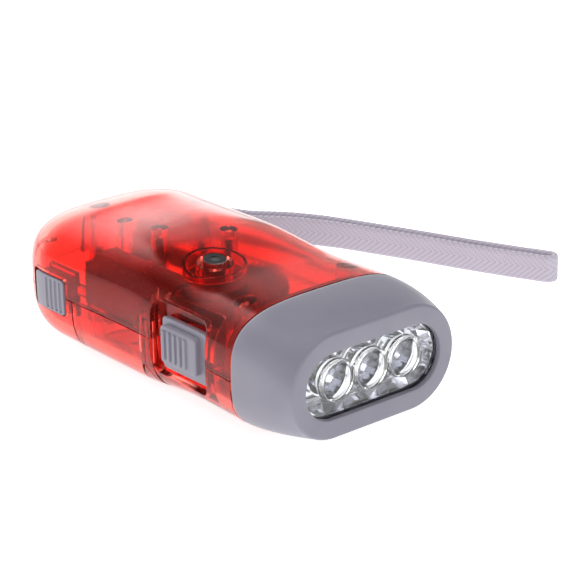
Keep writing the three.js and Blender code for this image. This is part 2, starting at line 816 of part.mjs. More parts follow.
function switchButton() {
  const x = [stemX - plateLength / 2, stemX + plateLength / 2];
  const z = [axisZ - plateHeight / 2, axisZ + plateHeight / 2];
  const plateY = [pocketFloorY - slideGap - plateThickness, pocketFloorY - slideGap];
  const padX = [stemX - padLength / 2 - padShift, stemX + padLength / 2 - padShift];
  const padZ = [axisZ - padHeight / 2 + padShift / 2, axisZ + padHeight / 2 + padShift / 2];
  const padY = [plateY[0] - padRise, plateY[0] + plateThickness / 2];
  const ribZ = [padZ[0] + ribWidth, padZ[1] - ribWidth];
  const stem = block(
    [stemX - stemLength / 2, stemX + stemLength / 2],
    [plateY[0] + plateThickness / 2, pocketBackY + stemReach],
    [axisZ - stemHeight / 2, axisZ + stemHeight / 2],
  );
  return join(
    slab(roundedRectangle(x, z, ribWidth), plateY),
    slab(roundedRectangle(padX, padZ, ribWidth), padY),
    stem,
    ...ribs(padX, ribZ, padY[0], ribCount, ribRise),
  );
}

function switchCan() {
  const centre = stemX - switchTravel / 2;
  const x = [centre - switchCanLength / 2, centre + switchCanLength / 2];
  const y = [pocketBackY + slideGap, pocketBackY + slideGap + switchCanDepth];
  const z = [axisZ - switchCanHeight / 2, axisZ + switchCanHeight / 2];
  const slot = block(
    [stemX - stemLength / 2 - switchTravel - slideGap, stemX + stemLength / 2 + slideGap],
    [y[0] - overrun, pocketBackY + stemReach + slideGap],
    [axisZ - stemHeight / 2 - slideGap, axisZ + stemHeight / 2 + slideGap],
  );
  return block(x, y, z).subtract(slot);
}

// Latch: a curved cap flush with the skin, a guide plate inside and a finger that hooks the lever's lug
const latchZ = axisZ + latchCentre;
const latchSkinY = -bodyHalf(latchX, wall).y;
const latchPlateY = -bodyHalf(latchX - latchLength / 2 - latchTravel - wall, wall + slideGap).y;

function latchWindow() {
  return block(
    [latchX - latchLength / 2 - latchTravel - slideGap, latchX + latchLength / 2 + slideGap],
    [-farOut, latchSkinY + wall],
    [latchZ - latchHeight / 2 - slideGap, latchZ + latchHeight / 2 + slideGap],
  );
}

function latchButton() {
  const x = [latchX - latchLength / 2, latchX + latchLength / 2];
  const z = [latchZ - latchHeight / 2, latchZ + latchHeight / 2];
  const plateY = latchPlateY;
  const proud = bodyForm(-latchProud, liningCount, 9, 8, 0);
  const cap = slab(roundedRectangle(x, z, latchPlateLip), [-farOut, plateY + latchPlateThickness])
    .intersect(proud);
  const plate = block(
    [x[0] + latchPlateLip, x[1]],
    [plateY, plateY + latchPlateThickness],
    [z[0] - latchPlateLip, z[1] + latchPlateLip],
  );
  const armLow = topShellZ + slideGap / 2;
  const armX = x[1] + fingerReach;
  const armY = [plateY, plateY + fingerWidth];
  const arm = block([x[1] - overrun, armX], armY, [armLow, armLow + fingerHeight]);
  const finger = block([armX - fingerThickness, armX], armY, [bottomShellZ - fingerDrop, armLow + overrun]);
  const outer = -bodyHalf(latchX, -latchProud).y;
  const ribbed = [x[0] + latchLength / 3, x[1]];
  const cuts = ribs(ribbed, [z[0] + ribRise, z[1] - ribRise], outer, latchRibCount - 1, ribRise);
  return join(cap, plate, arm, finger).subtract(join(...cuts));
}

// Strap slot and the way out of it at the tail's far corner
const strapBearing = THREE.MathUtils.degToRad(120);
const strapMouth = new THREE.Vector2(-47.2, 17.4);

function strapChannel() {
  const half = strapLegGap / 2 + strapThickness / 2 + slideGap;
  const hole = new THREE.BoxGeometry(wall * 7, half * 2, strapWidth + slideGap * 2);
  hole.rotateZ(strapBearing);
  hole.translate(strapMouth.x, strapMouth.y, axisZ);
  return solid(hole);
}

function screwCut(place) {
  const seat = axisZ + screwSeat;
  return join(
    post(place, [seat - farOut, seat], screwWell),
    post(place, [seat - overrun, seat + screwShankLength + seamGap], screwShankRadius + boreGap),
  );
}

const screws = [
  new THREE.Vector2(tailX + tailScrewInset, tailScrewY),
  new THREE.Vector2(tailX + rearScrewInset, rearScrewY),
  new THREE.Vector2(collarX - headScrewInset, headScrewY),
  new THREE.Vector2(collarX - pocketScrewInset, pocketScrewY),
];

function bottomShell() {
  const top = bottomShellZ;
  const notchTop = top + overrun;
  const notch = leverPlan(runningGap).intersect(below(notchTop));
  const turnRoom = post(leverPin, [axisZ - farOut, notchTop], leverTurnRadius + runningGap, 28);
  const inner = (place, z, radius) => post(place, [axisZ - farOut, z], radius);
  const posts = join(
    inner(driveCentre, pinionLow - runningGap, postRadius),
    inner(secondCentre, driveWheelLow - faceOverlap - runningGap, postRadius),
    inner(rotorCentre, secondWheelLow - faceOverlap - runningGap, postRadius),
    inner(new THREE.Vector2(springX, springY), springHigh, springPegRadius),
    springStop(),
    ...screws.map((place) => inner(place, top, bossRadius)),
    ...boardPosts(),
    inner(leverPin, barrelLow - runningGap, postRadius),
    pinArm(),
  ).intersect(skin);
  const pocketWall = skin.intersect(pocketCut(wall)).subtract(pocketCut(0))
    .intersect(block([pocketX[0] - overrun, farOut], [-farOut, pocketBackY], [-farOut, top]));
  const hollow = join(skin.subtract(lining).subtract(notch), pocketWall).subtract(turnRoom);
  let shell = join(hollow, posts).intersect(below(top));
  shell = shell.subtract(pocketCut(0)).subtract(latchWindow()).subtract(strapChannel())
    .subtract(stemSlot()).subtract(below(0));
  for (const place of screws) shell = shell.subtract(screwCut(place));
  for (const centre of [driveCentre, secondCentre, rotorCentre]) {
    shell = shell.subtract(post(centre, [wall * 2, farOut], axleRadius + boreGap));
  }
  return shell.subtract(post(leverPin, [barrelLow - pinFoot - boreGap, farOut], pinRadius + boreGap, 16));
}

// Arm over the lever's floor that holds the post under the lever's pin
function pinArm() {
  const high = barrelLow - runningGap;
  const x = [leverPinX - seamGap, leverPinX - seamGap + pinArmWidth];
  const footY = leverWrapY + runningGap;
  return join(
    block(x, [leverPin.y, footY + wall], [high - pinArmDepth, high]),
    block(x, [footY, footY + wall], [axisZ - farOut, high]),
  );
}

function boardPosts() {
  const level = axisZ + boardLevel - seamGap / 2;
  return [[-1, 1], [1, -1]].map(([sx, sy]) => post(
    new THREE.Vector2(boardX + sx * boardLength / 3, sy * boardWidth / 3),
    [axisZ - farOut, level],
    springPegRadius,
    12,
  ));
}

function topShell() {
  const low = topShellZ;
  const inner = (place, z, radius) => post(place, [z, axisZ + farOut], radius);
  const bushRing = inner(rotorCentre, magnetHigh + layerGap * 2, magnetRadius)
    .subtract(inner(rotorCentre, magnetHigh, magnetRadius - seamGap * 2));
  const yokeSeat = new THREE.Vector2(yokeX + yokeWidth / 2, rotorCentre.y);
  const shoeSeat = from(rotorCentre, coreSeatBearing, (shoeInner + shoeOuter) / 2);
  const bosses = join(
    inner(driveCentre, secondWheelHigh + layerGap, postRadius),
    inner(secondCentre, secondWheelHigh + layerGap, postRadius),
    inner(rotorCentre, magnetHigh + layerGap, hubRadius),
    bushRing,
    ...screws.map((place) => post(place, [low, axisZ + farOut], bossTopRadius)),
    post(leverPin, [low, low + pinRise + seamGap], leverBarrelRadius),
    inner(yokeSeat, coreHigh + slideGap, yokeWidth / 2),
    inner(shoeSeat, coreHigh + slideGap, poleThickness / 2),
  ).intersect(skin);
  const pocketWall = skin.intersect(pocketCut(wall)).subtract(pocketCut(0))
    .intersect(block([pocketX[0] - wall, farOut], [-farOut, pocketBackY], [low, farOut]));
  let shell = join(skin.subtract(lining), bosses, pocketWall).intersect(above(low));
  shell = shell.subtract(pocketCut(0)).subtract(latchWindow()).subtract(strapChannel()).subtract(stemSlot());
  for (const place of screws) shell = shell.subtract(screwCut(place));
  for (const centre of [driveCentre, secondCentre]) {
    shell = shell.subtract(post(centre, [low, axisZ + waistHeight / 2 - wall * 2], axleRadius + boreGap));
  }
  shell = shell.subtract(post(rotorCentre, [low, bushHigh], bushRadius + boreGap, 24));
  return shell.subtract(post(leverPin, [low - overrun, low + pinRise + boreGap], pinRadius + boreGap, 16));
}

// Dark bush that holds the rotor's axle under the top of the casing
const bushRadius = 2.3;
const bushHigh = axisZ + bodyHalf(rotorCentre.x, 0).z - wall / 2;

function rotorBush() {
  return post(rotorCentre, [magnetHigh + layerGap, bushHigh - boreGap], bushRadius, 24)
    .subtract(post(rotorCentre, [magnetHigh, bushHigh + overrun], axleRadius + boreGap));
}

function axle(centre, low, high) {
  return post(centre, [low, high], axleRadius, 16);
}

// Head
const bezelX = collarX + seamGap / 2;

function headBezel() {
  const count = 44;
  const shares = [0, 0.18, 0.36, 0.54, 0.7, 0.85];
  const edgeX = noseX - noseEdge;
  const cavityEnd = noseX - frontWall;
  const outer = shares.map((share) => headRing(share, 0, bezelX + (edgeX - bezelX) * share, count));
  for (let i = 0; i <= 3; i++) {
    const turn = i / 3 * Math.PI / 2;
    outer.push(headRing(1, noseEdge * (1 - Math.cos(turn)), edgeX + noseEdge * Math.sin(turn), count));
  }
  const throat = wall + slideGap + spigotWall;
  const spigotX = collarX - spigotLength;
  const inner = (share, inset, x) => headRing(share, inset, x, liningCount);
  const cavity = [
    inner(0, throat, spigotX - overrun),
    inner(0, throat, bezelX + spigotWall),
    ...[0.2, 0.5, 0.8, 1].map((share) => inner(share, wall, bezelX + (cavityEnd - bezelX) * share)),
  ];
  const spigot = loft([
    inner(0, wall + slideGap, spigotX),
    inner(0, wall + slideGap, bezelX + spigotWall),
  ]);
  const mouth = loft([
    stadiumRing(cavityEnd - overrun, windowWidth, windowHeight, liningCount),
    stadiumRing(noseX - frontWall / 2, windowWidth, windowHeight, liningCount),
    stadiumRing(noseX + seamGap, windowWidth + windowFlare, windowHeight + windowFlare, liningCount),
  ]);
  const outside = loft(outer).add(spigot);
  const boardRear = ledBoardX - slideGap / 2;
  const boardRibs = [-1, 1].map((side) => block(
    [boardRear - boardRibThickness, boardRear],
    [side * (ledBoardWidth / 2 - overrun), side * collarWidth / 2].sort((a, b) => a - b),
    [axisZ - boardRibHeight / 2, axisZ + boardRibHeight / 2],
  ));
  return outside.subtract(loft(cavity)).subtract(mouth).add(join(...boardRibs).intersect(outside));
}

const lensX = noseX - frontWall - slideGap / 2 - lensThickness;

// Clear plate with a disc through it for each lamp, flat in front and crowned behind
function lensWindow() {
  const crownSteps = 4;
  const front = discCrown + discEdge + lensThickness + discProud;
  const profile = [[0, front], [discRadius, front]];
  for (let i = 0; i <= crownSteps; i++) {
    const share = i / crownSteps;
    profile.push([discRadius * Math.sqrt(1 - share ** 2), discCrown * (1 - share)]);
  }
  profile.reverse();
  const discs = ledPlaces.map((y) => turned(profile, lensX - discEdge - discCrown, y, 20));
  const plate = loft([
    stadiumRing(lensX, windowWidth + lensLip * 2, windowHeight + lensLip * 2, liningCount),
    stadiumRing(lensX + lensThickness, windowWidth + lensLip * 2, windowHeight + lensLip * 2, liningCount),
  ]);
  return join(plate, ...discs);
}

const trayX = [lensX - slideGap / 2 - trayDepth, lensX - slideGap / 2];
const cupFrontX = lensX - discEdge - discCrown - slideGap;
const cupRearX = cupFrontX - cupDepth;
const ledHoleRadius = ledRadius + slideGap / 2;
const ledPlaces = [-cupPitch, 0, cupPitch];
const ledBoardX = cupRearX - slideGap - ledFlangeHeight - boardThickness;

// A shape turned about an axis that runs along +X
function turned(profile, x, y, sides) {
  const points = profile.map(([radius, along]) => new THREE.Vector2(radius, along));
  const lathe = new THREE.LatheGeometry(points, sides);
  lathe.rotateZ(-Math.PI / 2);
  lathe.translate(x, y, axisZ + lampRise);
  return solid(lathe);
}

function cupProfile(grow) {
  const steps = 4;
  const points = Array.from({ length: steps + 1 }, (_, i) => {
    const share = i / steps;
    const squared = ledHoleRadius ** 2 + (cupMouthRadius ** 2 - ledHoleRadius ** 2) * share;
    return [Math.sqrt(squared) + grow, cupDepth * share];
  });
  const ends = grow > 0 ? [[0, 0], [0, cupDepth]] : [[0, -overrun], [0, cupDepth + overrun]];
  const edge = grow > 0 ? [] : [[ledHoleRadius, -overrun]];
  const mouth = grow > 0 ? [] : [[cupMouthRadius, cupDepth + overrun]];
  return [ends[0], ...edge, ...points, ...mouth, ends[1]];
}

function reflector() {
  const width = windowWidth + trayWall;
  const height = windowHeight + trayWall;
  const plain = (inset, x) => loft([
    stadiumRing(x[0], width - 2 * inset, height - 2 * inset, liningCount),
    stadiumRing(x[1], width - 2 * inset, height - 2 * inset, liningCount),
  ]);
  const tray = plain(0, trayX).subtract(plain(trayWall, [trayX[0] + trayWall, trayX[1] + overrun]));
  const cups = ledPlaces.map((y) => turned(cupProfile(cupWall), cupRearX, y, 16));
  const bores = ledPlaces.map((y) => turned(cupProfile(0), cupRearX, y, 16));
  return join(tray, ...cups).subtract(join(...bores));
}

function led(y) {
  const flangeX = cupRearX - slideGap / 2 - ledFlangeHeight;
  const dome = Array.from({ length: 5 }, (_, i) => {
    const turn = i / 4 * Math.PI / 2;
    return [ledRadius * Math.cos(turn), ledLength - ledRadius + ledFlangeHeight + ledRadius * Math.sin(turn)];
  });
  dome[4][0] = 0;
  return turned([
    [0, 0], [ledFlangeRadius, 0], [ledFlangeRadius, ledFlangeHeight], [ledRadius, ledFlangeHeight], ...dome,
  ], flangeX, y, 12);
}

function ledBoard() {
  return block(
    [ledBoardX, ledBoardX + boardThickness],
    [-ledBoardWidth / 2, ledBoardWidth / 2],
    [axisZ - ledBoardHeight / 2, axisZ + ledBoardHeight / 2],
  );
}

const boardZ = [axisZ + boardLevel, axisZ + boardLevel + boardThickness];

function controlBoard() {
  return block(
    [boardX - boardLength / 2, boardX + boardLength / 2],
    [-boardWidth / 2, boardWidth / 2],
    boardZ,
  );
}

function storageCell() {
  const edge = cellRadius / 8;
  const x = boardX - cellLength / 2;
  const cell = new THREE.LatheGeometry([
    [0, 0], [cellRadius - edge, 0], [cellRadius, edge], [cellRadius, cellLength - edge],
    [cellRadius - edge, cellLength], [cellRadius / 3, cellLength], [cellRadius / 3, cellLength + edge],
    [0, cellLength + edge],
  ].map(([radius, along]) => new THREE.Vector2(radius, along)), 24);
  cell.rotateZ(-Math.PI / 2);
  cell.translate(x, cellY, boardZ[1] + slideGap + cellRadius);
  return solid(cell);
}

function capacitor() {
  const low = boardZ[1] + slideGap / 2;
  const high = low + capacitorHeight;
  const place = new THREE.Vector2(boardX + boardLength / 4, -boardWidth / 4);
  return post(place, [low, high], capacitorRadius, 16)
    .subtract(post(place, [high - ribRise, high + overrun], capacitorRadius * 0.6, 16));
}

function screw(place) {
  const seat = axisZ + screwSeat - boreGap;
  const head = post(place, [seat - screwHeadHeight, seat], screwHeadRadius, 16);
  const shank = post(place, [seat - screwHeadHeight / 2, seat + screwShankLength], screwShankRadius, 12);
  const cross = (dx, dy) => block(
    [place.x - dx, place.x + dx],
    [place.y - dy, place.y + dy],
    [seat - screwHeadHeight - overrun, seat - screwHeadHeight + recessDepth],
  );
  return join(head, shank)
    .subtract(cross(recessWidth / 2, recessLength / 2))
    .subtract(cross(recessLength / 2, recessWidth / 2));
}

// Return spring: a few turns round a peg, one leg to a stop on the casing and one to the lever's wall
const springHigh = sectorLow - layerGap;
const springLow = springHigh - springTurns * springPitch;

function springPoints() {
  const firstAngle = springLastAngle - springTurns * 2 * Math.PI;
  const at = (angle, z) => new THREE.Vector3(
    springX + springRadius * Math.cos(angle),
    springY + springRadius * Math.sin(angle),
    z,
  );
  const way = (angle) => new THREE.Vector3(-Math.sin(angle), Math.cos(angle), 0);
  const count = Math.round(springTurns * springSteps);
  const coil = Array.from({ length: count + 1 }, (_, i) => {
    const share = i / count;
    return at(firstAngle + (springLastAngle - firstAngle) * share, springLow + (springHigh - springLow) * share);
  });
  const foot = coil[0].clone().addScaledVector(way(firstAngle), -springFootLength);
  const reach = coil[count].clone().addScaledVector(way(springLastAngle), springLegLength);
  return [foot, ...coil, reach];
}

function springStop() {
  const foot = springPoints()[0];
  const place = new THREE.Vector2(foot.x + springStopRadius, foot.y + springStopShift + springWire + slideGap);
  return post(place, [axisZ - farOut, springHigh], springStopRadius, 12);
}

function returnSpring() {
  return tubeAlong(springPoints(), springWire, 5);
}

// Wrist strap: a loop of flat tape, out of the tail's slot on edge and folded over at its far end
const strapRoute = [
  [-45.5, 14.4, 16], [-46.4, 15.95, 16], [-47.3, 17.5, 16], [-48.7, 20.2, 15.9], [-50.4, 25.4, 15.6],
  [-50.6, 31, 15], [-48.8, 37, 13.8], [-43.1, 44.7, 12.1], [-37.3, 52.3, 11.4], [-30.6, 60.4, 10.1],
  [-23.9, 69, 8], [-15.6, 78, 5.9], [-5.6, 85.8, 4.4], [4.4, 92, 3.7], [11.6, 95.6, 3.6],
].map((place) => new THREE.Vector3(...place));

const up = new THREE.Vector3(0, 0, 1);

// A curve whose frames keep the width of a tape upright
class TapeCurve extends THREE.CatmullRomCurve3 {
  computeFrenetFrames(steps) {
    const tangents = Array.from({ length: steps + 1 }, (_, i) => this.getTangentAt(i / steps));
    const sides = tangents.map((way) => way.clone().cross(up).normalize());
    const normals = tangents.map((way, i) => way.clone().cross(sides[i]));
    const binormals = tangents.map((way, i) => way.clone().cross(normals[i]));
    return { tangents, normals, binormals };
  }
}

function strapLoop() {
  const middleLine = new THREE.CatmullRomCurve3(strapRoute, false, 'centripetal');
  const beside = (share, side) => {
    const way = middleLine.getTangentAt(share);
    return middleLine.getPointAt(share).addScaledVector(way.cross(up).normalize(), side * strapLegGap / 2);
  };
  const shares = strapRoute.map((_, i) => i / (strapRoute.length - 1));
  const out = shares.map((share) => beside(share, 1));
  const back = shares.map((share) => beside(share, -1)).reverse();
  const tip = middleLine.getPointAt(1).addScaledVector(middleLine.getTangentAt(1), strapLegGap / 2);
  return new TapeCurve([...out, tip, ...back], false, 'centripetal');
}

function wristStrap() {
  const edge = strapThickness / 4;
  const section = new THREE.Shape(clippedRectangle(0, 0, strapWidth / 2, strapThickness / 2, edge));
  return solid(new THREE.ExtrudeGeometry(section, {
    extrudePath: strapLoop(),
    steps: strapSteps,
    bevelEnabled: false,
  }));
}

// Knot that keeps the strap in the casing, just behind the slot
function strapKnot() {
  const edge = knotLength / 4;
  const profile = [
    [0, 0], [knotRadius - edge, 0], [knotRadius, edge], [knotRadius, knotLength - edge],
    [knotRadius - edge, knotLength], [0, knotLength],
  ].map(([radius, along]) => new THREE.Vector2(radius, along));
  const knot = new THREE.LatheGeometry(profile, 16);
  knot.rotateZ(strapBearing - Math.PI / 2);
  const way = strapRoute[1].clone().sub(strapRoute[0]).normalize();
  const start = strapRoute[0].clone().addScaledVector(way, -knotLength - slideGap);
  knot.translate(start.x, start.y, start.z);
  return solid(knot);
}

function build() {
  const group = new THREE.Group();
  const add = (name, body, material) => {
    const mesh = new THREE.Mesh(geometryOf(body), material);
    mesh.name = name;
    group.add(mesh);
  };
  add('top_shell', topShell(), redShell);
  add('bottom_shell', bottomShell(), redShell);
  add('head_bezel', headBezel(), greyPlastic);
  add('lens_window', lensWindow(), clear);
  add('reflector', reflector(), mirror);
  ['led_left', 'led_centre', 'led_right'].forEach((name, i) => add(name, led(ledPlaces[i]), clear));
  add('led_board', ledBoard(), boardGreen);
  add('control_board', controlBoard(), boardGreen);
  add('storage_cell', storageCell(), steel);
  add('capacitor', capacitor(), darkPlastic);
  add('switch_can', switchCan(), steel);
  add('switch_button', switchButton(), greyPlastic);
  add('latch_button', latchButton(), greyPlastic);
  add('press_lever', pressLever(), redShell);
  add('lever_sector', leverSector(), greyPlastic);
  add('lever_pin', leverPinRod(), steel);
  add('return_spring', returnSpring(), steel);
  add('drive_gear', driveGear(), darkPlastic);
  add('second_gear', secondGear(), whitePlastic);
  add('rotor_pinion', rotorPinion(), whitePlastic);
  add('rotor_magnet', rotorMagnet(), darkMetal);
  add('rotor_bush', rotorBush(), darkPlastic);
  add('drive_axle', axle(driveCentre, wall * 2, axisZ + waistHeight / 2 - wall * 2 - boreGap), steel);
  add('second_axle', axle(secondCentre, wall * 2, axisZ + waistHeight / 2 - wall * 2 - boreGap), steel);
  add('rotor_axle', axle(rotorCentre, wall * 2, bushHigh - boreGap), steel);
  add('stator_core', statorCore(), darkMetal);
  add('coil_bobbin', coilBobbin(), whitePlastic);
  add('coil_winding', coilWinding(), copper);
  add('coil_cradle', coilCradle(), greyPlastic);
  screws.forEach((place, i) => add(`case_screw_${i + 1}`, screw(place), steel));
  add('wrist_strap', wristStrap(), strapFabric);
  add('strap_knot', strapKnot(), strapFabric);
  console.log('winding gap', leastGap(windingPoints(), wireRadius, wireSteps).toFixed(2));
  console.log('spring gap', leastGap(springPoints(), springWire, springSteps).toFixed(2));
  return group;
}

export default build();
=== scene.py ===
"""A squeeze-lever torch with a see-through red body, a grey head and a wrist strap.

Every length in this file is in millimetres and every angle in degrees, unless a name
says otherwise. Meshes turn to metres when they are made.
"""

import logging
import math
from dataclasses import dataclass
from enum import Enum
from typing import Any, Iterable, Sequence

import bmesh
import bpy
import numpy as np
from mathutils import Matrix, Vector

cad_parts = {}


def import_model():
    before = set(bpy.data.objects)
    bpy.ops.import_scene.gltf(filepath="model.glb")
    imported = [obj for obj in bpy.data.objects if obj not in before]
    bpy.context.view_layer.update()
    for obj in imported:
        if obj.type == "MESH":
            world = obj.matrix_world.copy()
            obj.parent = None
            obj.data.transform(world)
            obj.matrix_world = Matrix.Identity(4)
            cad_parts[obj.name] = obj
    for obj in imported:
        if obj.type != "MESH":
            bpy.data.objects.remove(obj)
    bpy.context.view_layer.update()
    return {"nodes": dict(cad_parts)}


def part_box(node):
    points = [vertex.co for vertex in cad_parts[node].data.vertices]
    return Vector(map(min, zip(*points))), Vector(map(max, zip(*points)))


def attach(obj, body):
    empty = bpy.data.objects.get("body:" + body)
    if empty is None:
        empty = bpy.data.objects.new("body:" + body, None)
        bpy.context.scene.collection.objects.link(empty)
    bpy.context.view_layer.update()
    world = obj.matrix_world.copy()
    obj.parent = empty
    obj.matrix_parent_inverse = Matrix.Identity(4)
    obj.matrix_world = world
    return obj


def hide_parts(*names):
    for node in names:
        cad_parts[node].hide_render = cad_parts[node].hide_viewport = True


MM = 0.001  # metres in a millimetre
FAR = 100.0  # beyond every side of the torch
PAST = 1.0  # how far a cut goes on past what it cuts
ALONG_X = (1, 0, 0)  # the torch's long axis, towards the lamps
SIDES_HOLE, SIDES_BOSS, SIDES_RING, SIDES_SWEEP = 32, 64, 96, 256  # faces round a post, by its size
FORM_RINGS = (160, 60, 26)  # ring points, body rings and tail rings of the form that trims a piece
SPRING_PLACE = (-1.0, -9.0)  # the lever's spring and its post, seen from above
LATCH_DROP = 0.6  # how far the latch's middle lies under the middle line
CLOUD_RANGE = (0.3, 0.7)  # the part of a noise that a soft change of colour uses
PLASTIC_IOR = 1.5
LOG = logging.getLogger("torch")


class Axis(Enum):
    """The way an outline is drawn out, and the two axes that it is drawn in."""

    X = (0, 1, 2)
    Y = (1, 0, 2)
    Z = (2, 0, 1)


class Solid:
    """A closed mesh in the making, with the joins and cuts that shape it."""

    def __init__(self, points: np.ndarray, faces: Sequence[Sequence[int]]) -> None:
        """Makes a solid.

        Args:
            points: corner places, one row each.
            faces: corner numbers of each face.
        """
        data = bpy.data.meshes.new("solid")
        data.from_pydata((np.asarray(points, float) * MM).tolist(), [], [list(f) for f in faces])
        shape = bmesh.new()
        shape.from_mesh(data)
        bmesh.ops.recalc_face_normals(shape, faces=shape.faces)
        shape.to_mesh(data)
        shape.free()
        self.obj = bpy.data.objects.new("solid", data)
        bpy.context.scene.collection.objects.link(self.obj)

    @classmethod
    def loft(cls, rings: Sequence[np.ndarray], closed: bool = False) -> "Solid":
        """Joins rings of equal count into one skin.

        Args:
            rings: arrays of points; the first or last may be a single point.
            closed: whether the last ring joins the first, as on a bezel.

        Returns:
            The solid.
        """
        starts, points, faces, total = [], [], [], 0
        for ring in rings:
            starts.append(total)
            points.append(np.atleast_2d(ring))
            total += len(points[-1])
        pairs = list(zip(range(len(rings) - 1), range(1, len(rings))))
        if closed:
            pairs.append((len(rings) - 1, 0))
        for a, b in pairs:
            na, nb = len(points[a]), len(points[b])
            sa, sb = starts[a], starts[b]
            count = max(na, nb)
            for i in range(count):
                j = (i + 1) % count
                if na == 1:
                    faces.append((sa, sb + i, sb + j))
                elif nb == 1:
                    faces.append((sa + i, sb, sa + j))
                else:
                    faces.append((sa + i, sb + i, sb + j, sa + j))
        if not closed:
            for end in (0, len(rings) - 1):
                if len(points[end]) > 1:
                    faces.append(range(starts[end], starts[end] + len(points[end])))
        return cls(np.vstack(points), faces)

    @classmethod
    def prism(cls, outline: np.ndarray, low: float, high: float, axis: Axis = Axis.Z) -> "Solid":
        """Draws an outline out along an axis.

        Args:
            outline: points in the axis's own two directions.
            low: where it starts along the axis.
            high: where it ends.
            axis: the way it is drawn out.

        Returns:
            The solid.
        """
        rings = []
        for level in (low, high):
            ring = np.zeros((len(outline), 3))
            ring[:, axis.value[0]] = level
            ring[:, axis.value[1]] = outline[:, 0]
            ring[:, axis.value[2]] = outline[:, 1]
            rings.append(ring)
        return cls.loft(rings)

    @classmethod
    def block(cls, x: Sequence[float], y: Sequence[float], z: Sequence[float]) -> "Solid":
        """A box between pairs of x, y and z."""
        corners = np.array([[x[0], y[0]], [x[1], y[0]], [x[1], y[1]], [x[0], y[1]]])
        return cls.prism(corners, z[0], z[1])

    @classmethod
    def post(cls, place: Sequence[float], low: float, high: float, radius: float, sides: int = 48) -> "Solid":
        """A round upright post at a place seen from above."""
        return cls.prism(circle(place, radius, sides), low, high)

    @classmethod
    def turned(
        cls, profile: Sequence[Sequence[float]], centre: Sequence[float], along: Sequence[float], sides: int
    ) -> "Solid":
        """Turns a profile about an axis.

        Args:
            profile: pairs of radius and distance along the axis, from axis to axis.
            centre: where the distance along the axis is nought.
            along: the axis.
            sides: how many faces go round.

        Returns:
            The solid.
        """
        way = Vector(along).normalized()
        side = way.orthogonal().normalized()
        across = way.cross(side)
        turn = np.arange(sides) / sides * 2 * math.pi
        rings = []
        for radius, reach in profile:
            middle = np.array(centre) + np.array(way) * reach
            if radius == 0:
                rings.append(middle)
                continue
            spokes = np.outer(np.cos(turn), side) + np.outer(np.sin(turn), across)
            rings.append(middle + radius * spokes)
        return cls.loft(rings)

    @classmethod
    def tube(cls, points: np.ndarray, radius: float, sides: int) -> "Solid":
        """A wire along points.

        Args:
            points: the places that its middle follows.
            radius: its radius.
            sides: how many faces go round.

        Returns:
            The solid.
        """
        turn = np.arange(sides) / sides * 2 * math.pi
        side, rings = None, []
        for i, place in enumerate(points):
            way = Vector(points[min(i + 1, len(points) - 1)] - points[max(i - 1, 0)]).normalized()
            side = way.orthogonal() if side is None else side - way * side.dot(way)
            side.normalize()
            across = way.cross(side)
            spokes = np.outer(np.cos(turn), side) + np.outer(np.sin(turn), across)
            rings.append(place + radius * spokes)
        return cls.loft(rings)

    def _combine(self, operation: str, others: Iterable["Solid"]) -> "Solid":
        """Joins, cuts or crosses this solid with others, which are used up.

        Args:
            operation: what is done.
            others: the solids that it is done with.

        Returns:
            This solid.
        """
        others = list(others)
        for other in others:
            step = self.obj.modifiers.new(operation, "BOOLEAN")
            step.operation = operation
            step.solver = "MANIFOLD"
            step.object = other.obj
        self._apply()
        for other in others:
            bpy.data.objects.remove(other.obj)
        return self

    def _apply(self) -> None:
        """Bakes the modifiers into the mesh."""
        graph = bpy.context.evaluated_depsgraph_get()
        data = bpy.data.meshes.new_from_object(self.obj.evaluated_get(graph))
        self.obj.modifiers.clear()
        self.obj.data = data

    def add(self, *others: "Solid") -> "Solid":
        """Joins others to this solid."""
        return self._combine("UNION", others)

    def cut(self, *others: "Solid") -> "Solid":
        """Cuts others out of this solid."""
        return self._combine("DIFFERENCE", others)

    def within(self, *others: "Solid") -> "Solid":
        """Keeps what lies in the others too."""
        return self._combine("INTERSECT", others)

    def soften(self, width: float, segments: int = 3, angle: float = 40.0) -> "Solid":
        """Rounds edges sharper than an angle.

        Args:
            width: how far the rounding reaches.
            segments: how many steps it has.
            angle: the least angle between faces that is rounded.

        Returns:
            This solid.
        """
        step = self.obj.modifiers.new("soften", "BEVEL")
        step.width = width * MM
        step.segments = segments
        step.limit_method = "ANGLE"
        step.angle_limit = math.radians(angle)
        step.harden_normals = False
        self._apply()
        return self

    def copy(self) -> "Solid":
        """A second solid of the same shape."""
        twin = object.__new__(Solid)
        twin.obj = self.obj.copy()
        twin.obj.data = self.obj.data.copy()
        bpy.context.scene.collection.objects.link(twin.obj)
        return twin

    def finish(
        self,
        name: str,
        body: str,
        slot: str,
        material: bpy.types.Material,
        replaces: Sequence[str],
        sharp: float = 32.0,
    ) -> bpy.types.Object:
        """Names the piece, dresses it and puts it on its body.

        Args:
            name: the piece's name.
            body: the moving body that carries it.
            slot: not used.
            material: its finish.
            replaces: solids of the frame that it stands for.
            sharp: faces that meet at more than this keep a crisp edge.

        Returns:
            The piece's object.
        """
        self.obj.name = name
        self.obj.data.name = name
        self.obj.data.materials.clear()
        self.obj.data.materials.append(material)
        self.obj.data.shade_smooth()
        self.obj.data.set_sharp_from_angle(angle=math.radians(sharp))
        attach(self.obj, body)
        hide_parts(*replaces)
        LOG.info("%s on %s, %d faces", name, body, len(self.obj.data.polygons))
        return self.obj


def circle(place: Sequence[float], radius: float, sides: int) -> np.ndarray:
    """Points of a circle round a place."""
    turn = np.arange(sides) / sides * 2 * math.pi
    return np.stack([place[0] + radius * np.cos(turn), place[1] + radius * np.sin(turn)], axis=1)


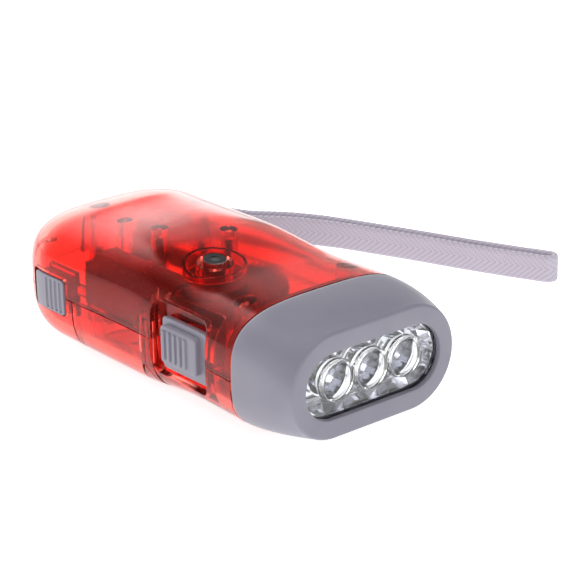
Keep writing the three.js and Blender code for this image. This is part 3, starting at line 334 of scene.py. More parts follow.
def rounded_box(x: Sequence[float], z: Sequence[float], radius: float, steps: int = 8) -> np.ndarray:
    """Points of a rectangle with round corners.

    Args:
        x: its first pair of sides.
        z: its second pair of sides.
        radius: the corners' radius.
        steps: how many faces each corner has.

    Returns:
        The points, anticlockwise.
    """
    corners = [(x[1], z[1], 0), (x[0], z[1], 1), (x[0], z[0], 2), (x[1], z[0], 3)]
    inward = [(-1, -1), (1, -1), (1, 1), (-1, 1)]
    points = []
    for (cx, cz, quarter), (sx, sz) in zip(corners, inward):
        for i in range(steps + 1):
            turn = (quarter + i / steps) * math.pi / 2
            points.append((cx + sx * radius + radius * math.cos(turn), cz + sz * radius + radius * math.sin(turn)))
    return np.array(points)


def ribbon(line: Sequence[Sequence[float]], width: float) -> np.ndarray:
    """The outline of a band of even width along a line.

    Args:
        line: the places that its middle follows.
        width: how wide it is.

    Returns:
        The points, anticlockwise.
    """
    middle = np.array(line, float)
    way = np.gradient(middle, axis=0)
    way /= np.linalg.norm(way, axis=1, keepdims=True)
    side = np.stack([way[:, 1], -way[:, 0]], axis=1) * width / 2
    return np.vstack([middle + side, (middle - side)[::-1]])


def ease(share: float) -> float:
    """A smooth step from nought to one."""
    return share * share * (3 - 2 * share)


def clamp(value: float) -> float:
    """A share held between nought and one."""
    return min(max(value, 0.0), 1.0)


@dataclass(frozen=True)
class Outline:
    """The sizes of the torch's outer form and the rings that give it."""

    length: float = 105.6
    tail_reach: float = 52.5
    head_length: float = 17.3
    neck_from_nose: float = 31.8
    waist_from_nose: float = 57.7
    tail_cap: float = 20.6
    nose: tuple[float, float] = (45.8, 24.0)
    collar: tuple[float, float] = (50.0, 28.25)
    waist: tuple[float, float] = (46.4, 33.1)
    tail: tuple[float, float] = (47.4, 31.8)
    rest_flat: float = 0.5
    wall: float = 2.0
    section_power: float = 3.33
    cap_powers: tuple[float, float] = (2.28, 2.19)
    neck_power: float = 1.4
    head_power: float = 1.75
    stadium_power: float = 3.5
    seam_gap: float = 0.3
    parting_drop: float = 0.5

    @property
    def axis_z(self) -> float:
        """Height of the middle line."""
        return self.waist[1] / 2 - self.rest_flat

    @property
    def nose_x(self) -> float:
        """Front end."""
        return self.length - self.tail_reach

    @property
    def collar_x(self) -> float:
        """Where the body ends and the head starts."""
        return self.nose_x - self.head_length

    @property
    def cap_x(self) -> float:
        """Where the rounded tail starts."""
        return self.tail_cap - self.tail_reach

    @property
    def top_z(self) -> float:
        """Lower edge of the top shell."""
        return self.axis_z - self.parting_drop + self.seam_gap / 2

    @property
    def bottom_z(self) -> float:
        """Upper edge of the bottom shell."""
        return self.axis_z - self.parting_drop - self.seam_gap / 2

    def half(self, x: float, inset: float) -> tuple[float, float]:
        """Half width and half height of the body.

        Args:
            x: the place along it.
            inset: how far in from the skin.

        Returns:
            The two halves.
        """
        waist_x = self.nose_x - self.waist_from_nose
        neck_x = self.nose_x - self.neck_from_nose
        forward = clamp((x - waist_x) / (self.collar_x - waist_x))
        back = clamp((waist_x - x) / (waist_x - self.cap_x))
        down = clamp((neck_x - x) / (neck_x - waist_x))
        width = self.waist[0] + (self.collar[0] - self.waist[0]) * forward**self.neck_power
        height = self.collar[1] + (self.waist[1] - self.collar[1]) * ease(down)
        if x < waist_x:
            width = self.waist[0] + (self.tail[0] - self.waist[0]) * ease(back)
            height = self.waist[1] + (self.tail[1] - self.waist[1]) * ease(back)
        cap = clamp(max(self.cap_x - x, 0.0) / (self.tail_cap - inset))
        shrink = [(1 - cap**power) ** (1 / power) for power in self.cap_powers]
        return (width / 2 - inset) * shrink[0], (height / 2 - inset) * shrink[1]

    def turns(self, count: int) -> np.ndarray:
        """Angles that give points close together where the section bends most.

        Args:
            count: how many points.

        Returns:
            The angles.
        """
        fine = np.linspace(0, 2 * math.pi, 16385)
        flat = self.section(fine) * np.array([self.waist[0], self.waist[1]]) / 2
        step = np.diff(flat, axis=0)
        size = np.hypot(step[:, 0], step[:, 1])
        aim = np.unwrap(np.arctan2(step[:, 1], step[:, 0]))
        bend = np.abs(np.diff(aim, append=aim[-1]))
        weight = size / size.sum() + bend / bend.sum()
        total = np.concatenate([[0], np.cumsum(weight)])
        total /= total[-1]
        return np.interp((np.arange(count) + 0.5) / count, total, fine)

    def section(self, turns: np.ndarray) -> np.ndarray:
        """The body's cross-section, which reaches one unit each way from its middle.

        Args:
            turns: the angles of its points.

        Returns:
            The points, one row each.
        """
        power = 2 / self.section_power
        across, up = np.cos(turns), np.sin(turns)
        return np.stack([np.sign(across) * np.abs(across) ** power, np.sign(up) * np.abs(up) ** power], axis=1)

    def ring(self, x: float, half: Sequence[float], turns: np.ndarray) -> np.ndarray:
        """A ring of the body's section at x."""
        flat = self.section(turns) * np.array(half)
        return np.column_stack([np.full(len(flat), x), flat[:, 0], flat[:, 1] + self.axis_z])

    def stadium(self, x: float, width: float, height: float, turns: np.ndarray) -> np.ndarray:
        """A ring with flat top and bottom and round sides.

        Args:
            x: its place.
            width: across.
            height: up.
            turns: the angles of its points.

        Returns:
            The ring.
        """
        radius = height / 2
        flat = width / 2 - radius
        aim = np.stack([width / 2 * np.cos(turns), radius * np.sin(turns)], axis=1)
        along = np.clip(aim[:, 0], -flat, flat)
        way = np.stack([aim[:, 0] - along, aim[:, 1]], axis=1)
        way *= radius / np.maximum(np.linalg.norm(way, axis=1, keepdims=True), 1e-9)
        return np.column_stack([np.full(len(turns), x), along + way[:, 0], way[:, 1] + self.axis_z])

    def head_ring(self, share: float, inset: float, x: float, turns: np.ndarray) -> np.ndarray:
        """A ring of the head, from the collar's section to the nose's stadium.

        Args:
            share: nought at the collar and one at the nose.
            inset: how far in from the skin.
            x: its place.
            turns: the angles of its points.

        Returns:
            The ring.
        """
        bent = share**self.head_power
        width = self.collar[0] + (self.nose[0] - self.collar[0]) * bent - 2 * inset
        height = self.collar[1] + (self.nose[1] - self.collar[1]) * bent - 2 * inset
        round_ring = self.ring(x, (width / 2, height / 2), turns)
        flat_ring = self.stadium(x, width, height, turns)
        return round_ring + (flat_ring - round_ring) * share**self.stadium_power

    def form(self, inset: float, count: int, steps: int, cap_steps: int, reach: float = 0.0) -> Solid:
        """The body as a filled solid.

        Args:
            inset: how far in from the skin.
            count: points of a ring.
            steps: rings along the body.
            cap_steps: rings along the rounded tail.
            reach: how far it goes on past the collar.

        Returns:
            The solid.
        """
        turns = self.turns(count)
        places = [
            self.cap_x - (self.tail_cap - inset) * math.sin(i / cap_steps * math.pi / 2)
            for i in range(cap_steps - 1, 0, -1)
        ]
        places += [self.cap_x + (self.collar_x - self.cap_x) * i / steps for i in range(steps + 1)]
        rings: list[np.ndarray] = [np.array([[inset - self.tail_reach, 0, self.axis_z]])]
        rings += [self.ring(x, self.half(x, inset), turns) for x in places]
        if reach:
            rings.append(self.ring(self.collar_x + reach, self.half(self.collar_x, inset), turns))
        return Solid.loft(rings)


def above(z: float) -> Solid:
    """All room above a height."""
    return Solid.block((-FAR, FAR), (-FAR, FAR), (z, FAR))


def below(z: float) -> Solid:
    """All room below a height."""
    return Solid.block((-FAR, FAR), (-FAR, FAR), (-FAR, z))


class Value:
    """A shader socket that can be used in sums."""

    def __init__(self, tree: bpy.types.NodeTree, socket: bpy.types.NodeSocket) -> None:
        """Wraps a node's output."""
        self.tree = tree
        self.socket = socket

    def _sum(self, operation: str, first: Any, second: Any) -> "Value":
        """Adds a Math node."""
        return Paint.add_to(self.tree, "ShaderNodeMath", {"operation": operation}, {0: first, 1: second})

    def __add__(self, other: Any) -> "Value":
        """This plus other."""
        return self._sum("ADD", self, other)

    __radd__ = __add__

    def __mul__(self, other: Any) -> "Value":
        """This times other."""
        return self._sum("MULTIPLY", self, other)

    __rmul__ = __mul__

    def __sub__(self, other: Any) -> "Value":
        """This less other."""
        return self._sum("SUBTRACT", self, other)

    def __rsub__(self, other: Any) -> "Value":
        """Other less this."""
        return self._sum("SUBTRACT", other, self)


class Paint:
    """A material in the making."""

    def __init__(self, name: str) -> None:
        """Starts a material with one surface shader.

        Args:
            name: its name.
        """
        self.material = bpy.data.materials.new(name)
        self.material.use_nodes = True
        self.tree = self.material.node_tree
        self.shader = self.tree.nodes["Principled BSDF"]

    @staticmethod
    def add_to(
        tree: bpy.types.NodeTree, kind: str, settings: dict[str, Any], sockets: dict[Any, Any], output: Any = 0
    ) -> Value:
        """Adds a node.

        Args:
            tree: where it goes.
            kind: the node's type.
            settings: its own settings, which are set first.
            sockets: the value or link of each input.
            output: which output is handed back.

        Returns:
            The output.
        """
        node = tree.nodes.new(kind)
        for name, value in settings.items():
            setattr(node, name, value)
        for name, value in sockets.items():
            if isinstance(value, Value):
                tree.links.new(value.socket, node.inputs[name])
            else:
                node.inputs[name].default_value = value
        return Value(tree, node.outputs[output])

    def add(self, kind: str, settings: dict[str, Any], sockets: dict[Any, Any], output: Any = 0) -> Value:
        """Adds a node to this material."""
        return self.add_to(self.tree, kind, settings, sockets, output)

    def place(self) -> Value:
        """The place on the piece, in metres."""
        return self.add("ShaderNodeTexCoord", {}, {}, "Object")

    def noise(self, grain: float, detail: float, rough: float = 0.5) -> Value:
        """Clouds whose size is given in millimetres."""
        sockets = {"Vector": self.place(), "Scale": 1 / (grain * MM), "Detail": detail, "Roughness": rough}
        return self.add("ShaderNodeTexNoise", {}, sockets)

    def ramp(self, value: Value, low: float, high: float) -> Value:
        """Stretches a value from low and high to nought and one."""
        return self.add("ShaderNodeMapRange", {}, {"Value": value, "From Min": low, "From Max": high})

    def blend(self, share: Value, first: Sequence[float], second: Sequence[float]) -> Value:
        """Mixes two colours by a share."""
        sockets = {0: share, 6: (*first, 1.0), 7: (*second, 1.0)}
        return self.add("ShaderNodeMix", {"data_type": "RGBA"}, sockets, 2)

    def bump(self, height: Value, depth: float, edge: float = 0.0) -> Value:
        """Raises the surface.

        Args:
            height: how high, from nought to one.
            depth: how high one is.
            edge: radius that edges are rounded by, or nought.

        Returns:
            The normal.
        """
        sockets: dict[Any, Any] = {"Height": height, "Distance": depth * MM, "Strength": 1.0}
        if edge:
            sockets["Normal"] = self.rounded(edge)
        return self.add("ShaderNodeBump", {}, sockets)

    def rounded(self, edge: float) -> Value:
        """A normal that rounds edges by a radius."""
        return self.add("ShaderNodeBevel", {"samples": 6}, {"Radius": edge * MM})

    def surface(self, **sockets: Any) -> bpy.types.Material:
        """Sets the shader's sockets.

        Args:
            **sockets: values or links, named as the sockets are, with _ for a space.

        Returns:
            The material.
        """
        for name, value in sockets.items():
            socket = self.shader.inputs[name.replace("_", " ")]
            if isinstance(value, Value):
                self.tree.links.new(value.socket, socket)
            else:
                socket.default_value = (*value, 1.0) if isinstance(value, tuple) and len(value) == 3 else value
        return self.material


@dataclass(frozen=True)
class ClearPlastic:
    """Glossy see-through moulding, tinted or clear."""

    name: str
    tint: tuple[float, float, float]
    tint_thin: tuple[float, float, float]
    roughness: float = 0.03
    ripple: float = 0.012
    edge: float = 0.3
    ior: float = 1.46
    clearness: float = 1.0
    gloss_tint: tuple[float, float, float] = (1.0, 1.0, 1.0)
    flow_grain: float = 22.0
    flow_range: tuple[float, float] = (0.35, 0.65)
    ripple_grain: float = 3.5
    dust_grain: float = 0.22
    dust_range: tuple[float, float] = (0.72, 0.76)
    dust_dulling: float = 0.25

    def material(self) -> bpy.types.Material:
        """Makes the material.

        Returns:
            The material.
        """
        paint = Paint(self.name)
        flow = paint.noise(self.flow_grain, 2.0)
        ripple = paint.noise(self.ripple_grain, 1.0)
        dust = paint.ramp(paint.noise(self.dust_grain, 1.0), *self.dust_range)
        return paint.surface(
            Base_Color=paint.blend(paint.ramp(flow, *self.flow_range), self.tint, self.tint_thin),
            Roughness=self.roughness + dust * self.dust_dulling,
            Normal=paint.bump(ripple, self.ripple, self.edge),
            IOR=self.ior,
            Transmission_Weight=self.clearness,
            Specular_Tint=self.gloss_tint,
        )


@dataclass(frozen=True)
class SatinPlastic:
    """Opaque moulding with a fine spark-eroded grain."""

    name: str
    colour: tuple[float, float, float]
    shade: tuple[float, float, float]
    roughness: float = 0.34
    grain: float = 0.18
    depth: float = 0.004
    edge: float = 0.25
    cloud_grain: float = 9.0
    grain_dulling: float = 0.12

    def material(self) -> bpy.types.Material:
        """Makes the material.

        Returns:
            The material.
        """
        paint = Paint(self.name)
        cloud = paint.ramp(paint.noise(self.cloud_grain, 3.0), *CLOUD_RANGE)
        grain = paint.noise(self.grain, 2.0)
        return paint.surface(
            Base_Color=paint.blend(cloud, self.colour, self.shade),
            Roughness=self.roughness + (grain - 0.5) * self.grain_dulling,
            Normal=paint.bump(grain, self.depth, self.edge),
            IOR=PLASTIC_IOR,
        )


@dataclass(frozen=True)
class Metal:
    """Bright or dull metal with fine drawn lines."""

    name: str
    colour: tuple[float, float, float]
    roughness: float = 0.25
    streak: float = 0.15
    grain: float = 0.5
    depth: float = 0.002
    edge: float = 0.1
    stain_range: tuple[float, float] = (0.35, 0.7)
    worn_share: float = 0.72

    def material(self) -> bpy.types.Material:
        """Makes the material.

        Returns:
            The material.
        """
        paint = Paint(self.name)
        stain = paint.noise(self.grain, 3.0)
        worn = tuple(part * self.worn_share for part in self.colour)
        return paint.surface(
            Base_Color=paint.blend(paint.ramp(stain, *self.stain_range), self.colour, worn),
            Roughness=self.roughness + (stain - 0.5) * self.streak,
            Metallic=1.0,
            Normal=paint.bump(stain, self.depth, self.edge),
        )


@dataclass(frozen=True)
class Braid:
    """Woven polyester tape, with painted shade in the grooves between its tows."""

    name: str = "woven_tape"
    light: tuple[float, float, float] = (0.55, 0.505, 0.585)
    dark: tuple[float, float, float] = (0.27, 0.235, 0.305)
    thread: float = 0.16
    thread_roughness: float = 0.7
    patch_grain: float = 6.0
    fuzz_range: tuple[float, float] = (0.3, 0.75)
    fuzz_depth: float = 0.03
    fuzz_dulling: float = 0.15
    shares: tuple[float, float, float] = (0.25, 0.7, 0.05)
    roughness: float = 0.78
    sheen: float = 0.25

    def material(self) -> bpy.types.Material:
        """Makes the material.

        Returns:
            The material.
        """
        paint = Paint(self.name)
        fuzz = paint.noise(self.thread, 3.0, self.thread_roughness)
        patch = paint.ramp(paint.noise(self.patch_grain, 2.0), *CLOUD_RANGE)
        # painted shade: the grooves between the tows are darkened; the fuzz and patches are the tape's own random tone
        groove_shade = paint.add("ShaderNodeAttribute", {"attribute_name": "groove_shade"}, {}, "Fac")
        of_fuzz, of_groove_shade, of_patch = self.shares
        shade = paint.ramp(fuzz, *self.fuzz_range) * of_fuzz + groove_shade * of_groove_shade + patch * of_patch
        return paint.surface(
            Base_Color=paint.blend(shade, self.light, self.dark),
            Roughness=self.roughness + fuzz * self.fuzz_dulling,
            Normal=paint.bump(fuzz, self.fuzz_depth),
            Sheen_Weight=self.sheen,
        )


@dataclass(frozen=True)
class Board:
    """Green laminate with tracks under the lacquer."""

    name: str = "green_board"
    track: tuple[float, float, float] = (0.12, 0.32, 0.13)
    ground: tuple[float, float, float] = (0.035, 0.16, 0.06)
    track_pitch: float = 2.2
    track_spread: float = 0.8
    track_range: tuple[float, float] = (0.06, 0.09)
    track_rise: float = 0.03
    roughness: float = 0.3
    ground_dulling: float = 0.1
    edge: float = 0.1

    def material(self) -> bpy.types.Material:
        """Makes the material.

        Returns:
            The material.
        """
        paint = Paint(self.name)
        scale = 1 / (self.track_pitch * MM)
        sockets = {"Vector": paint.place(), "Scale": scale, "Randomness": self.track_spread}
        tracks = paint.add("ShaderNodeTexVoronoi", {"feature": "DISTANCE_TO_EDGE", "distance": "MANHATTAN"}, sockets)
        mask = paint.ramp(tracks, *self.track_range)
        return paint.surface(
            Base_Color=paint.blend(mask, self.track, self.ground),
            Roughness=self.roughness + mask * self.ground_dulling,
            Normal=paint.bump(mask, self.track_rise, self.edge),
            IOR=PLASTIC_IOR,
        )


class Finishes:
    """All the finishes, made once."""

    def __init__(self) -> None:
        """Makes the materials."""
        self.red = ClearPlastic(
            "red_plastic",
            (0.94, 0.11, 0.08),
            (0.94, 0.135, 0.1),
            roughness=0.08,
            clearness=0.97,
            ior=1.46,
            gloss_tint=(1.0, 0.12, 0.12),
        ).material()
        self.grey = SatinPlastic("grey_plastic", (0.2, 0.193, 0.24), (0.22, 0.212, 0.26)).material()
        # dark grey for the inner parts, darkened further as painted shade for the dim inside of the body
        self.inner = SatinPlastic("shaded_inner_grey", (0.075, 0.07, 0.078), (0.095, 0.09, 0.1)).material()
        self.dark = SatinPlastic("dark_plastic", (0.012, 0.011, 0.012), (0.018, 0.016, 0.018), roughness=0.5).material()
        self.white = SatinPlastic("nylon", (0.75, 0.72, 0.68), (0.68, 0.65, 0.6), roughness=0.5).material()
        self.jacket = SatinPlastic("cell_jacket", (0.05, 0.14, 0.09), (0.07, 0.18, 0.11), roughness=0.3).material()
        self.clear = ClearPlastic("clear_plastic", (0.98, 0.98, 0.99), (0.97, 0.98, 0.99), ripple=0.004).material()
        self.lamp = ClearPlastic("lamp_resin", (0.97, 0.97, 0.98), (0.9, 0.91, 0.93), ripple=0.002, edge=0).material()
        self.mirror = Metal("mirror_coat", (0.86, 0.86, 0.9), roughness=0.07, streak=0.04, grain=2.5).material()
        self.steel = Metal("steel", (0.55, 0.55, 0.57)).material()
        self.magnet = Metal("magnet_plate", (0.3, 0.3, 0.32), roughness=0.35).material()
        self.iron = Metal("core_iron", (0.25, 0.24, 0.25), roughness=0.45).material()
        self.copper = Metal("enamelled_wire", (0.72, 0.28, 0.11), roughness=0.25).material()
        self.tape = Braid().material()
        self.board = Board().material()


class Places:
    """Centres and levels of the inner parts, read from the frame's solids."""

    @staticmethod
    def box(node: str) -> np.ndarray:
        """Lowest and highest corner of a solid of the frame."""
        return np.array([list(corner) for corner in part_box(node)]) / MM

    @classmethod
    def centre(cls, node: str) -> np.ndarray:
        """Middle of a solid of the frame, seen from above."""
        return cls.box(node).mean(axis=0)[:2]


@dataclass(frozen=True)
class Pocket:
    """The recess that the slide switch sits in."""

    x: tuple[float, float] = (6.15, 26.6)
    z: tuple[float, float] = (-8.0, 9.0)
    corner: float = 2.9
    wall: float = 2.0
    floor: float = -21.019
    slot_x: tuple[float, float] = (12.5, 20.1)
    slot_half: float = 1.6

    def room(self, outline: Outline, grow: float = 0.0) -> Solid:
        """The room of the pocket.

        Args:
            outline: the body's form.
            grow: the thickness of the wall that is taken with it.

        Returns:
            The solid.
        """
        z = (outline.axis_z + self.z[0] - grow, outline.axis_z + self.z[1] + grow)
        box = rounded_box((self.x[0] - grow, self.x[1] + grow), z, self.corner)
        return Solid.prism(box, -FAR, self.floor + grow, Axis.Y)

    def slot(self, outline: Outline) -> Solid:
        """The slot that the switch's stem passes through."""
        z = (outline.axis_z - self.slot_half, outline.axis_z + self.slot_half)
        return Solid.block(self.slot_x, (self.floor - PAST, self.floor + self.wall + PAST), z)


@dataclass(frozen=True)
class Bush:
    """The rotor's upper bearing, whose dark end lies flush with the top shell."""

    outline: Outline
    flange: float = 2.55
    height: float = 1.0
    play: float = 0.1
    sunk: float = 0.06
    axle_sunk: float = 0.16

    def build(self, dark: bpy.types.Material, steel: bpy.types.Material) -> None:
        """Makes the bearing and the axle whose end shows in it.

        Args:
            dark: the bearing's finish.
            steel: the axle's finish.
        """
        low, high = Places.box("rotor_bush")
        axle = Places.box("rotor_axle")
        place = Places.centre("rotor_bush")
        bore = (axle[1][0] - axle[0][0]) / 2 + self.play
        bush = Solid.post(place, low[2], high[2], (high[0] - low[0]) / 2)
        bush.add(Solid.post(place, high[2] - self.height, FAR, self.flange, SIDES_BOSS))
        bush.cut(Solid.post(place, -FAR, FAR, bore)).within(self.outline.form(self.sunk, *FORM_RINGS))
        shaft = Solid.post(place, axle[0][2], FAR, bore - self.play, SIDES_HOLE)
        shaft.within(self.outline.form(self.axle_sunk, *FORM_RINGS))
        shaft.finish("rotor_shaft", "rotor", "steel", steel, ["rotor_axle"])
        bush.finish("rotor_bearing", "casing", "dark_plastic", dark, ["rotor_bush"])

    def room(self, level: float) -> list[Solid]:
        """The shell's room for the bearing.

        Args:
            level: where it starts below.

        Returns:
            Its two solids.
        """
        low, high = Places.box("rotor_bush")
        place = Places.centre("rotor_bush")
        stem = (high[0] - low[0]) / 2 + self.play
        return [
            Solid.post(place, level, high[2] + self.play, stem),
            Solid.post(place, high[2] - self.height - self.play, FAR, self.flange + self.play, SIDES_BOSS),
        ]


@dataclass(frozen=True)
class Casing:
    """The two red shells."""

    outline: Outline
    pocket: Pocket
    bush: Bush
    rings: tuple[int, int, int] = (200, 64, 26)
    boss_top: float = 2.3
    boss_bottom: float = 3.5
    axle_post: float = 1.9
    axle_post_low: float = 17.85
    axle_hole: float = 1.0
    axle_hole_low: float = 4.0
    axle_hole_rise: float = 12.55
    bush_boss: float = 4.1
    bush_boss_lift: float = 1.0
    bush_ring: tuple[float, float] = (6.4, 7.0)
    bush_ring_lift: float = 2.0
    core_post: float = 1.75
    core_gap: float = 0.3
    spring_post: float = 1.5
    spring_post_top: float = 6.6
    barrel: float = 2.8
    barrel_height: float = 7.0
    turn_radius: float = 4.0
    arm_width: float = 1.5
    arm_height: float = 1.0
    pin_hole: float = 1.1
    pin_rise: float = 3.0
    pin_play: float = 0.1
    pin_sink: float = 1.9
    screw_hole: float = 1.2
    screw_well: float = 2.5
    screw_seat: float = -10.2
    screw_reach: float = 15.3
    lever_reach: float = 26.35
    lever_wrap: float = -13.0
    gap: float = 0.35
    latch_x: tuple[float, float] = (-39.25, -25.85)
    latch_half: float = 4.5
    latch_corner: float = 1.2
    latch_inner: float = -19.4
    strap_exit: tuple[float, float] = (-47.2, 17.4)
    strap_turn: float = 120.0
    strap_slot: tuple[float, float, float] = (14.0, 5.6, 7.6)
    rib_width: float = 0.8
    tail_rib: tuple[tuple[float, float], ...] = ((-39.0, -8.2), (-42.7, 2.3))
    tail_rib_low: float = 19.5
    latch_rib: tuple[tuple[float, float], ...] = (
        (-40.6, 18.5), (-40.5, 21.0), (-39.9, 23.2), (-38.2, 24.7), (-35.6, 25.6)
    )
    latch_rib_inner: float = -17.7

    def screws(self) -> list[np.ndarray]:
        """Places of the four screws."""
        return [Places.centre(f"case_screw_{i}") for i in range(1, 5)]

    def latch_room(self) -> Solid:
        """The window for the latch."""
        middle = self.outline.axis_z - LATCH_DROP
        z = (middle - self.latch_half, middle + self.latch_half)
        return Solid.prism(rounded_box(self.latch_x, z, self.latch_corner), -FAR, self.latch_inner, Axis.Y)

    def strap_room(self) -> Solid:
        """The slot that the strap leaves through."""
        slot = Solid.block(*[(-size / 2, size / 2) for size in self.strap_slot])
        place = Matrix.Translation(Vector((*self.strap_exit, self.outline.axis_z)) * MM)
        slot.obj.data.transform(place @ Matrix.Rotation(math.radians(self.strap_turn), 4, "Z"))
        return slot

    def screw_room(self, place: np.ndarray) -> list[Solid]:
        """The well and the hole of one screw.

        Args:
            place: where the screw is, seen from above.

        Returns:
            The two solids.
        """
        seat = self.outline.axis_z + self.screw_seat
        return [
            Solid.post(place, -FAR, seat, self.screw_well),
            Solid.post(place, seat - PAST, seat + self.screw_reach, self.screw_hole, SIDES_HOLE),
        ]

    def filled(self) -> Solid:
        """The body without its hollow."""
        return self.outline.form(0.0, *self.rings)

    def hollow(self) -> Solid:
        """The body's skin."""
        return self.filled().cut(self.outline.form(self.outline.wall, *self.rings, PAST))

    def lever_plan(self, grow: float, top: float) -> Solid:
        """The piece of the body that is the lever's.

        Args:
            grow: how much wider it is all round.
            top: where it ends above.

        Returns:
            The solid.
        """
        pin = Places.centre("lever_pin")
        sweep = Solid.post(pin, -FAR, top, self.lever_reach + grow, SIDES_SWEEP)
        return sweep.within(Solid.block((-FAR, pin[0] + grow), (-FAR, self.lever_wrap + grow), (-FAR, top)))

    def build_top(self, red: bpy.types.Material) -> None:
        """Makes the top shell.

        Args:
            red: its finish.
        """
        out, low = self.outline, self.outline.top_z
        pin = Places.centre("lever_pin")
        rotor = Places.centre("rotor_axle")
        magnet = Places.box("rotor_magnet")[1][2]
        core = Places.box("stator_core")
        skin = self.filled()
        posts = [Solid.post(place, low, FAR, self.boss_top) for place in self.screws()]
        for node in ("drive_axle", "second_axle"):
            posts.append(Solid.post(Places.centre(node), self.axle_post_low, FAR, self.axle_post))
        posts.append(Solid.post(rotor, magnet + self.bush_boss_lift, FAR, self.bush_boss, SIDES_BOSS))
        inner, outer = (
            Solid.post(rotor, level, FAR, radius, SIDES_RING)
            for level, radius in zip((-FAR, magnet + self.bush_ring_lift), self.bush_ring)
        )
        posts.append(outer.cut(inner))
        posts.append(Solid.post(pin, low, low + self.pin_rise + out.seam_gap, self.barrel))
        core_place = (core[0][0] + self.core_post, rotor[1])
        posts.append(Solid.post(core_place, core[1][2] + self.core_gap, FAR, self.core_post))
        posts.append(Solid.prism(ribbon(self.tail_rib, self.rib_width), self.tail_rib_low, FAR))
        posts.append(Solid.prism(ribbon(self.latch_rib, self.rib_width), -FAR, self.latch_rib_inner, Axis.Y))
        lining = self.pocket.room(out, self.pocket.wall).within(above(low))
        bosses = posts[0].add(*posts[1:]).add(lining).within(skin.copy())
        shell = self.hollow().add(bosses).within(above(low))
        shell.cut(self.pocket.room(out), self.pocket.slot(out), self.latch_room(), self.strap_room())
        for place in self.screws():
            shell.cut(*self.screw_room(place))
        for node in ("drive_axle", "second_axle"):
            top = out.axis_z + self.axle_hole_rise
            shell.cut(Solid.post(Places.centre(node), low, top, self.axle_hole, SIDES_HOLE))
        shell.cut(*self.bush.room(low))
        shell.cut(Solid.post(pin, low - PAST, low + self.pin_rise + self.pin_play, self.pin_hole, SIDES_HOLE))
        bpy.data.objects.remove(skin.obj)
        shell.finish("casing_top", "casing", "red_shell", red, ["top_shell"])

    def build_bottom(self, red: bpy.types.Material) -> None:
        """Makes the bottom shell.

        Args:
            red: its finish.
        """
        out, top = self.outline, self.outline.bottom_z
        pin = Places.centre("lever_pin")
        barrel = top - self.barrel_height
        skin = self.filled()
        gears = {"drive_axle": "drive_gear", "second_axle": "second_gear", "rotor_axle": "rotor_pinion"}
        posts = [
            Solid.post(Places.centre(axle), -FAR, Places.box(gear)[0][2] - self.gap, self.axle_post)
            for axle, gear in gears.items()
        ]
        posts += [Solid.post(place, -FAR, top, self.boss_bottom) for place in self.screws()]
        posts.append(Solid.post(SPRING_PLACE, -FAR, self.spring_post_top, self.spring_post))
        posts.append(Solid.post(pin, -FAR, barrel - self.gap, self.axle_post))
        arm_x = (pin[0] - out.seam_gap, pin[0] - out.seam_gap + self.arm_width)
        arm_top = barrel - self.gap
        foot_y = self.lever_wrap + self.gap
        posts.append(Solid.block(arm_x, (pin[1], foot_y + out.wall), (arm_top - self.arm_height, arm_top)))
        posts.append(Solid.block(arm_x, (foot_y, foot_y + out.wall), (-FAR, arm_top)))
        bosses = posts[0].add(*posts[1:]).within(skin.copy())
        inner = Solid.block((self.pocket.x[0] - PAST, FAR), (-FAR, FAR), (-FAR, top))
        lining = self.pocket.room(out, self.pocket.wall).within(inner).within(skin.copy())
        shell = self.hollow().cut(self.lever_plan(self.gap, top + PAST)).add(lining)
        shell.cut(Solid.post(pin, -FAR, top + PAST, self.turn_radius + self.gap, SIDES_RING))
        shell.add(bosses).within(below(top))
        shell.cut(self.pocket.room(out), self.pocket.slot(out), self.latch_room(), self.strap_room(), below(0.0))
        for place in self.screws():
            shell.cut(*self.screw_room(place))
        for axle in gears:
            shell.cut(Solid.post(Places.centre(axle), self.axle_hole_low, FAR, self.axle_hole, SIDES_HOLE))
        shell.cut(Solid.post(pin, barrel - self.pin_sink, FAR, self.pin_hole, SIDES_HOLE))
        bpy.data.objects.remove(skin.obj)
        shell.finish("casing_bottom", "casing", "red_shell", red, ["bottom_shell"])


@dataclass(frozen=True)
class Lever:
    """The squeeze lever: a piece of the skin that swings on its pin."""

    casing: Casing
    lug_x: tuple[float, float] = (-23.35, -22.05)
    lug_y: tuple[float, float] = (-17.45, -15.0)

    def build(self, red: bpy.types.Material) -> None:
        """Makes the lever.

        Args:
            red: its finish.
        """
        case = self.casing
        top = case.outline.bottom_z
        pin = Places.centre("lever_pin")
        barrel = top - case.barrel_height
        skin = case.filled()
        ahead = Solid.block((pin[0] - PAST, case.pocket.x[0]), (-FAR, FAR), (-FAR, top))
        turn = Solid.post(pin, -FAR, top, case.turn_radius, SIDES_RING).within(ahead)
        plan = case.lever_plan(0.0, top).add(turn)
        plate = case.hollow().within(plan)
        plate.cut(Solid.post(pin, -FAR, barrel, case.axle_post + case.gap))
        knuckle = Solid.post(pin, barrel, top, case.barrel, SIDES_BOSS).within(skin.copy())
        lug = Solid.block(self.lug_x, self.lug_y, (-FAR, top)).within(skin.copy()).within(case.lever_plan(0.0, top))
        plate.add(knuckle, lug).cut(Solid.post(pin, barrel - PAST, top + PAST, case.pin_hole, SIDES_HOLE))
        bpy.data.objects.remove(skin.obj)
        plate.finish("squeeze_lever", "lever", "red_shell", red, ["press_lever"])


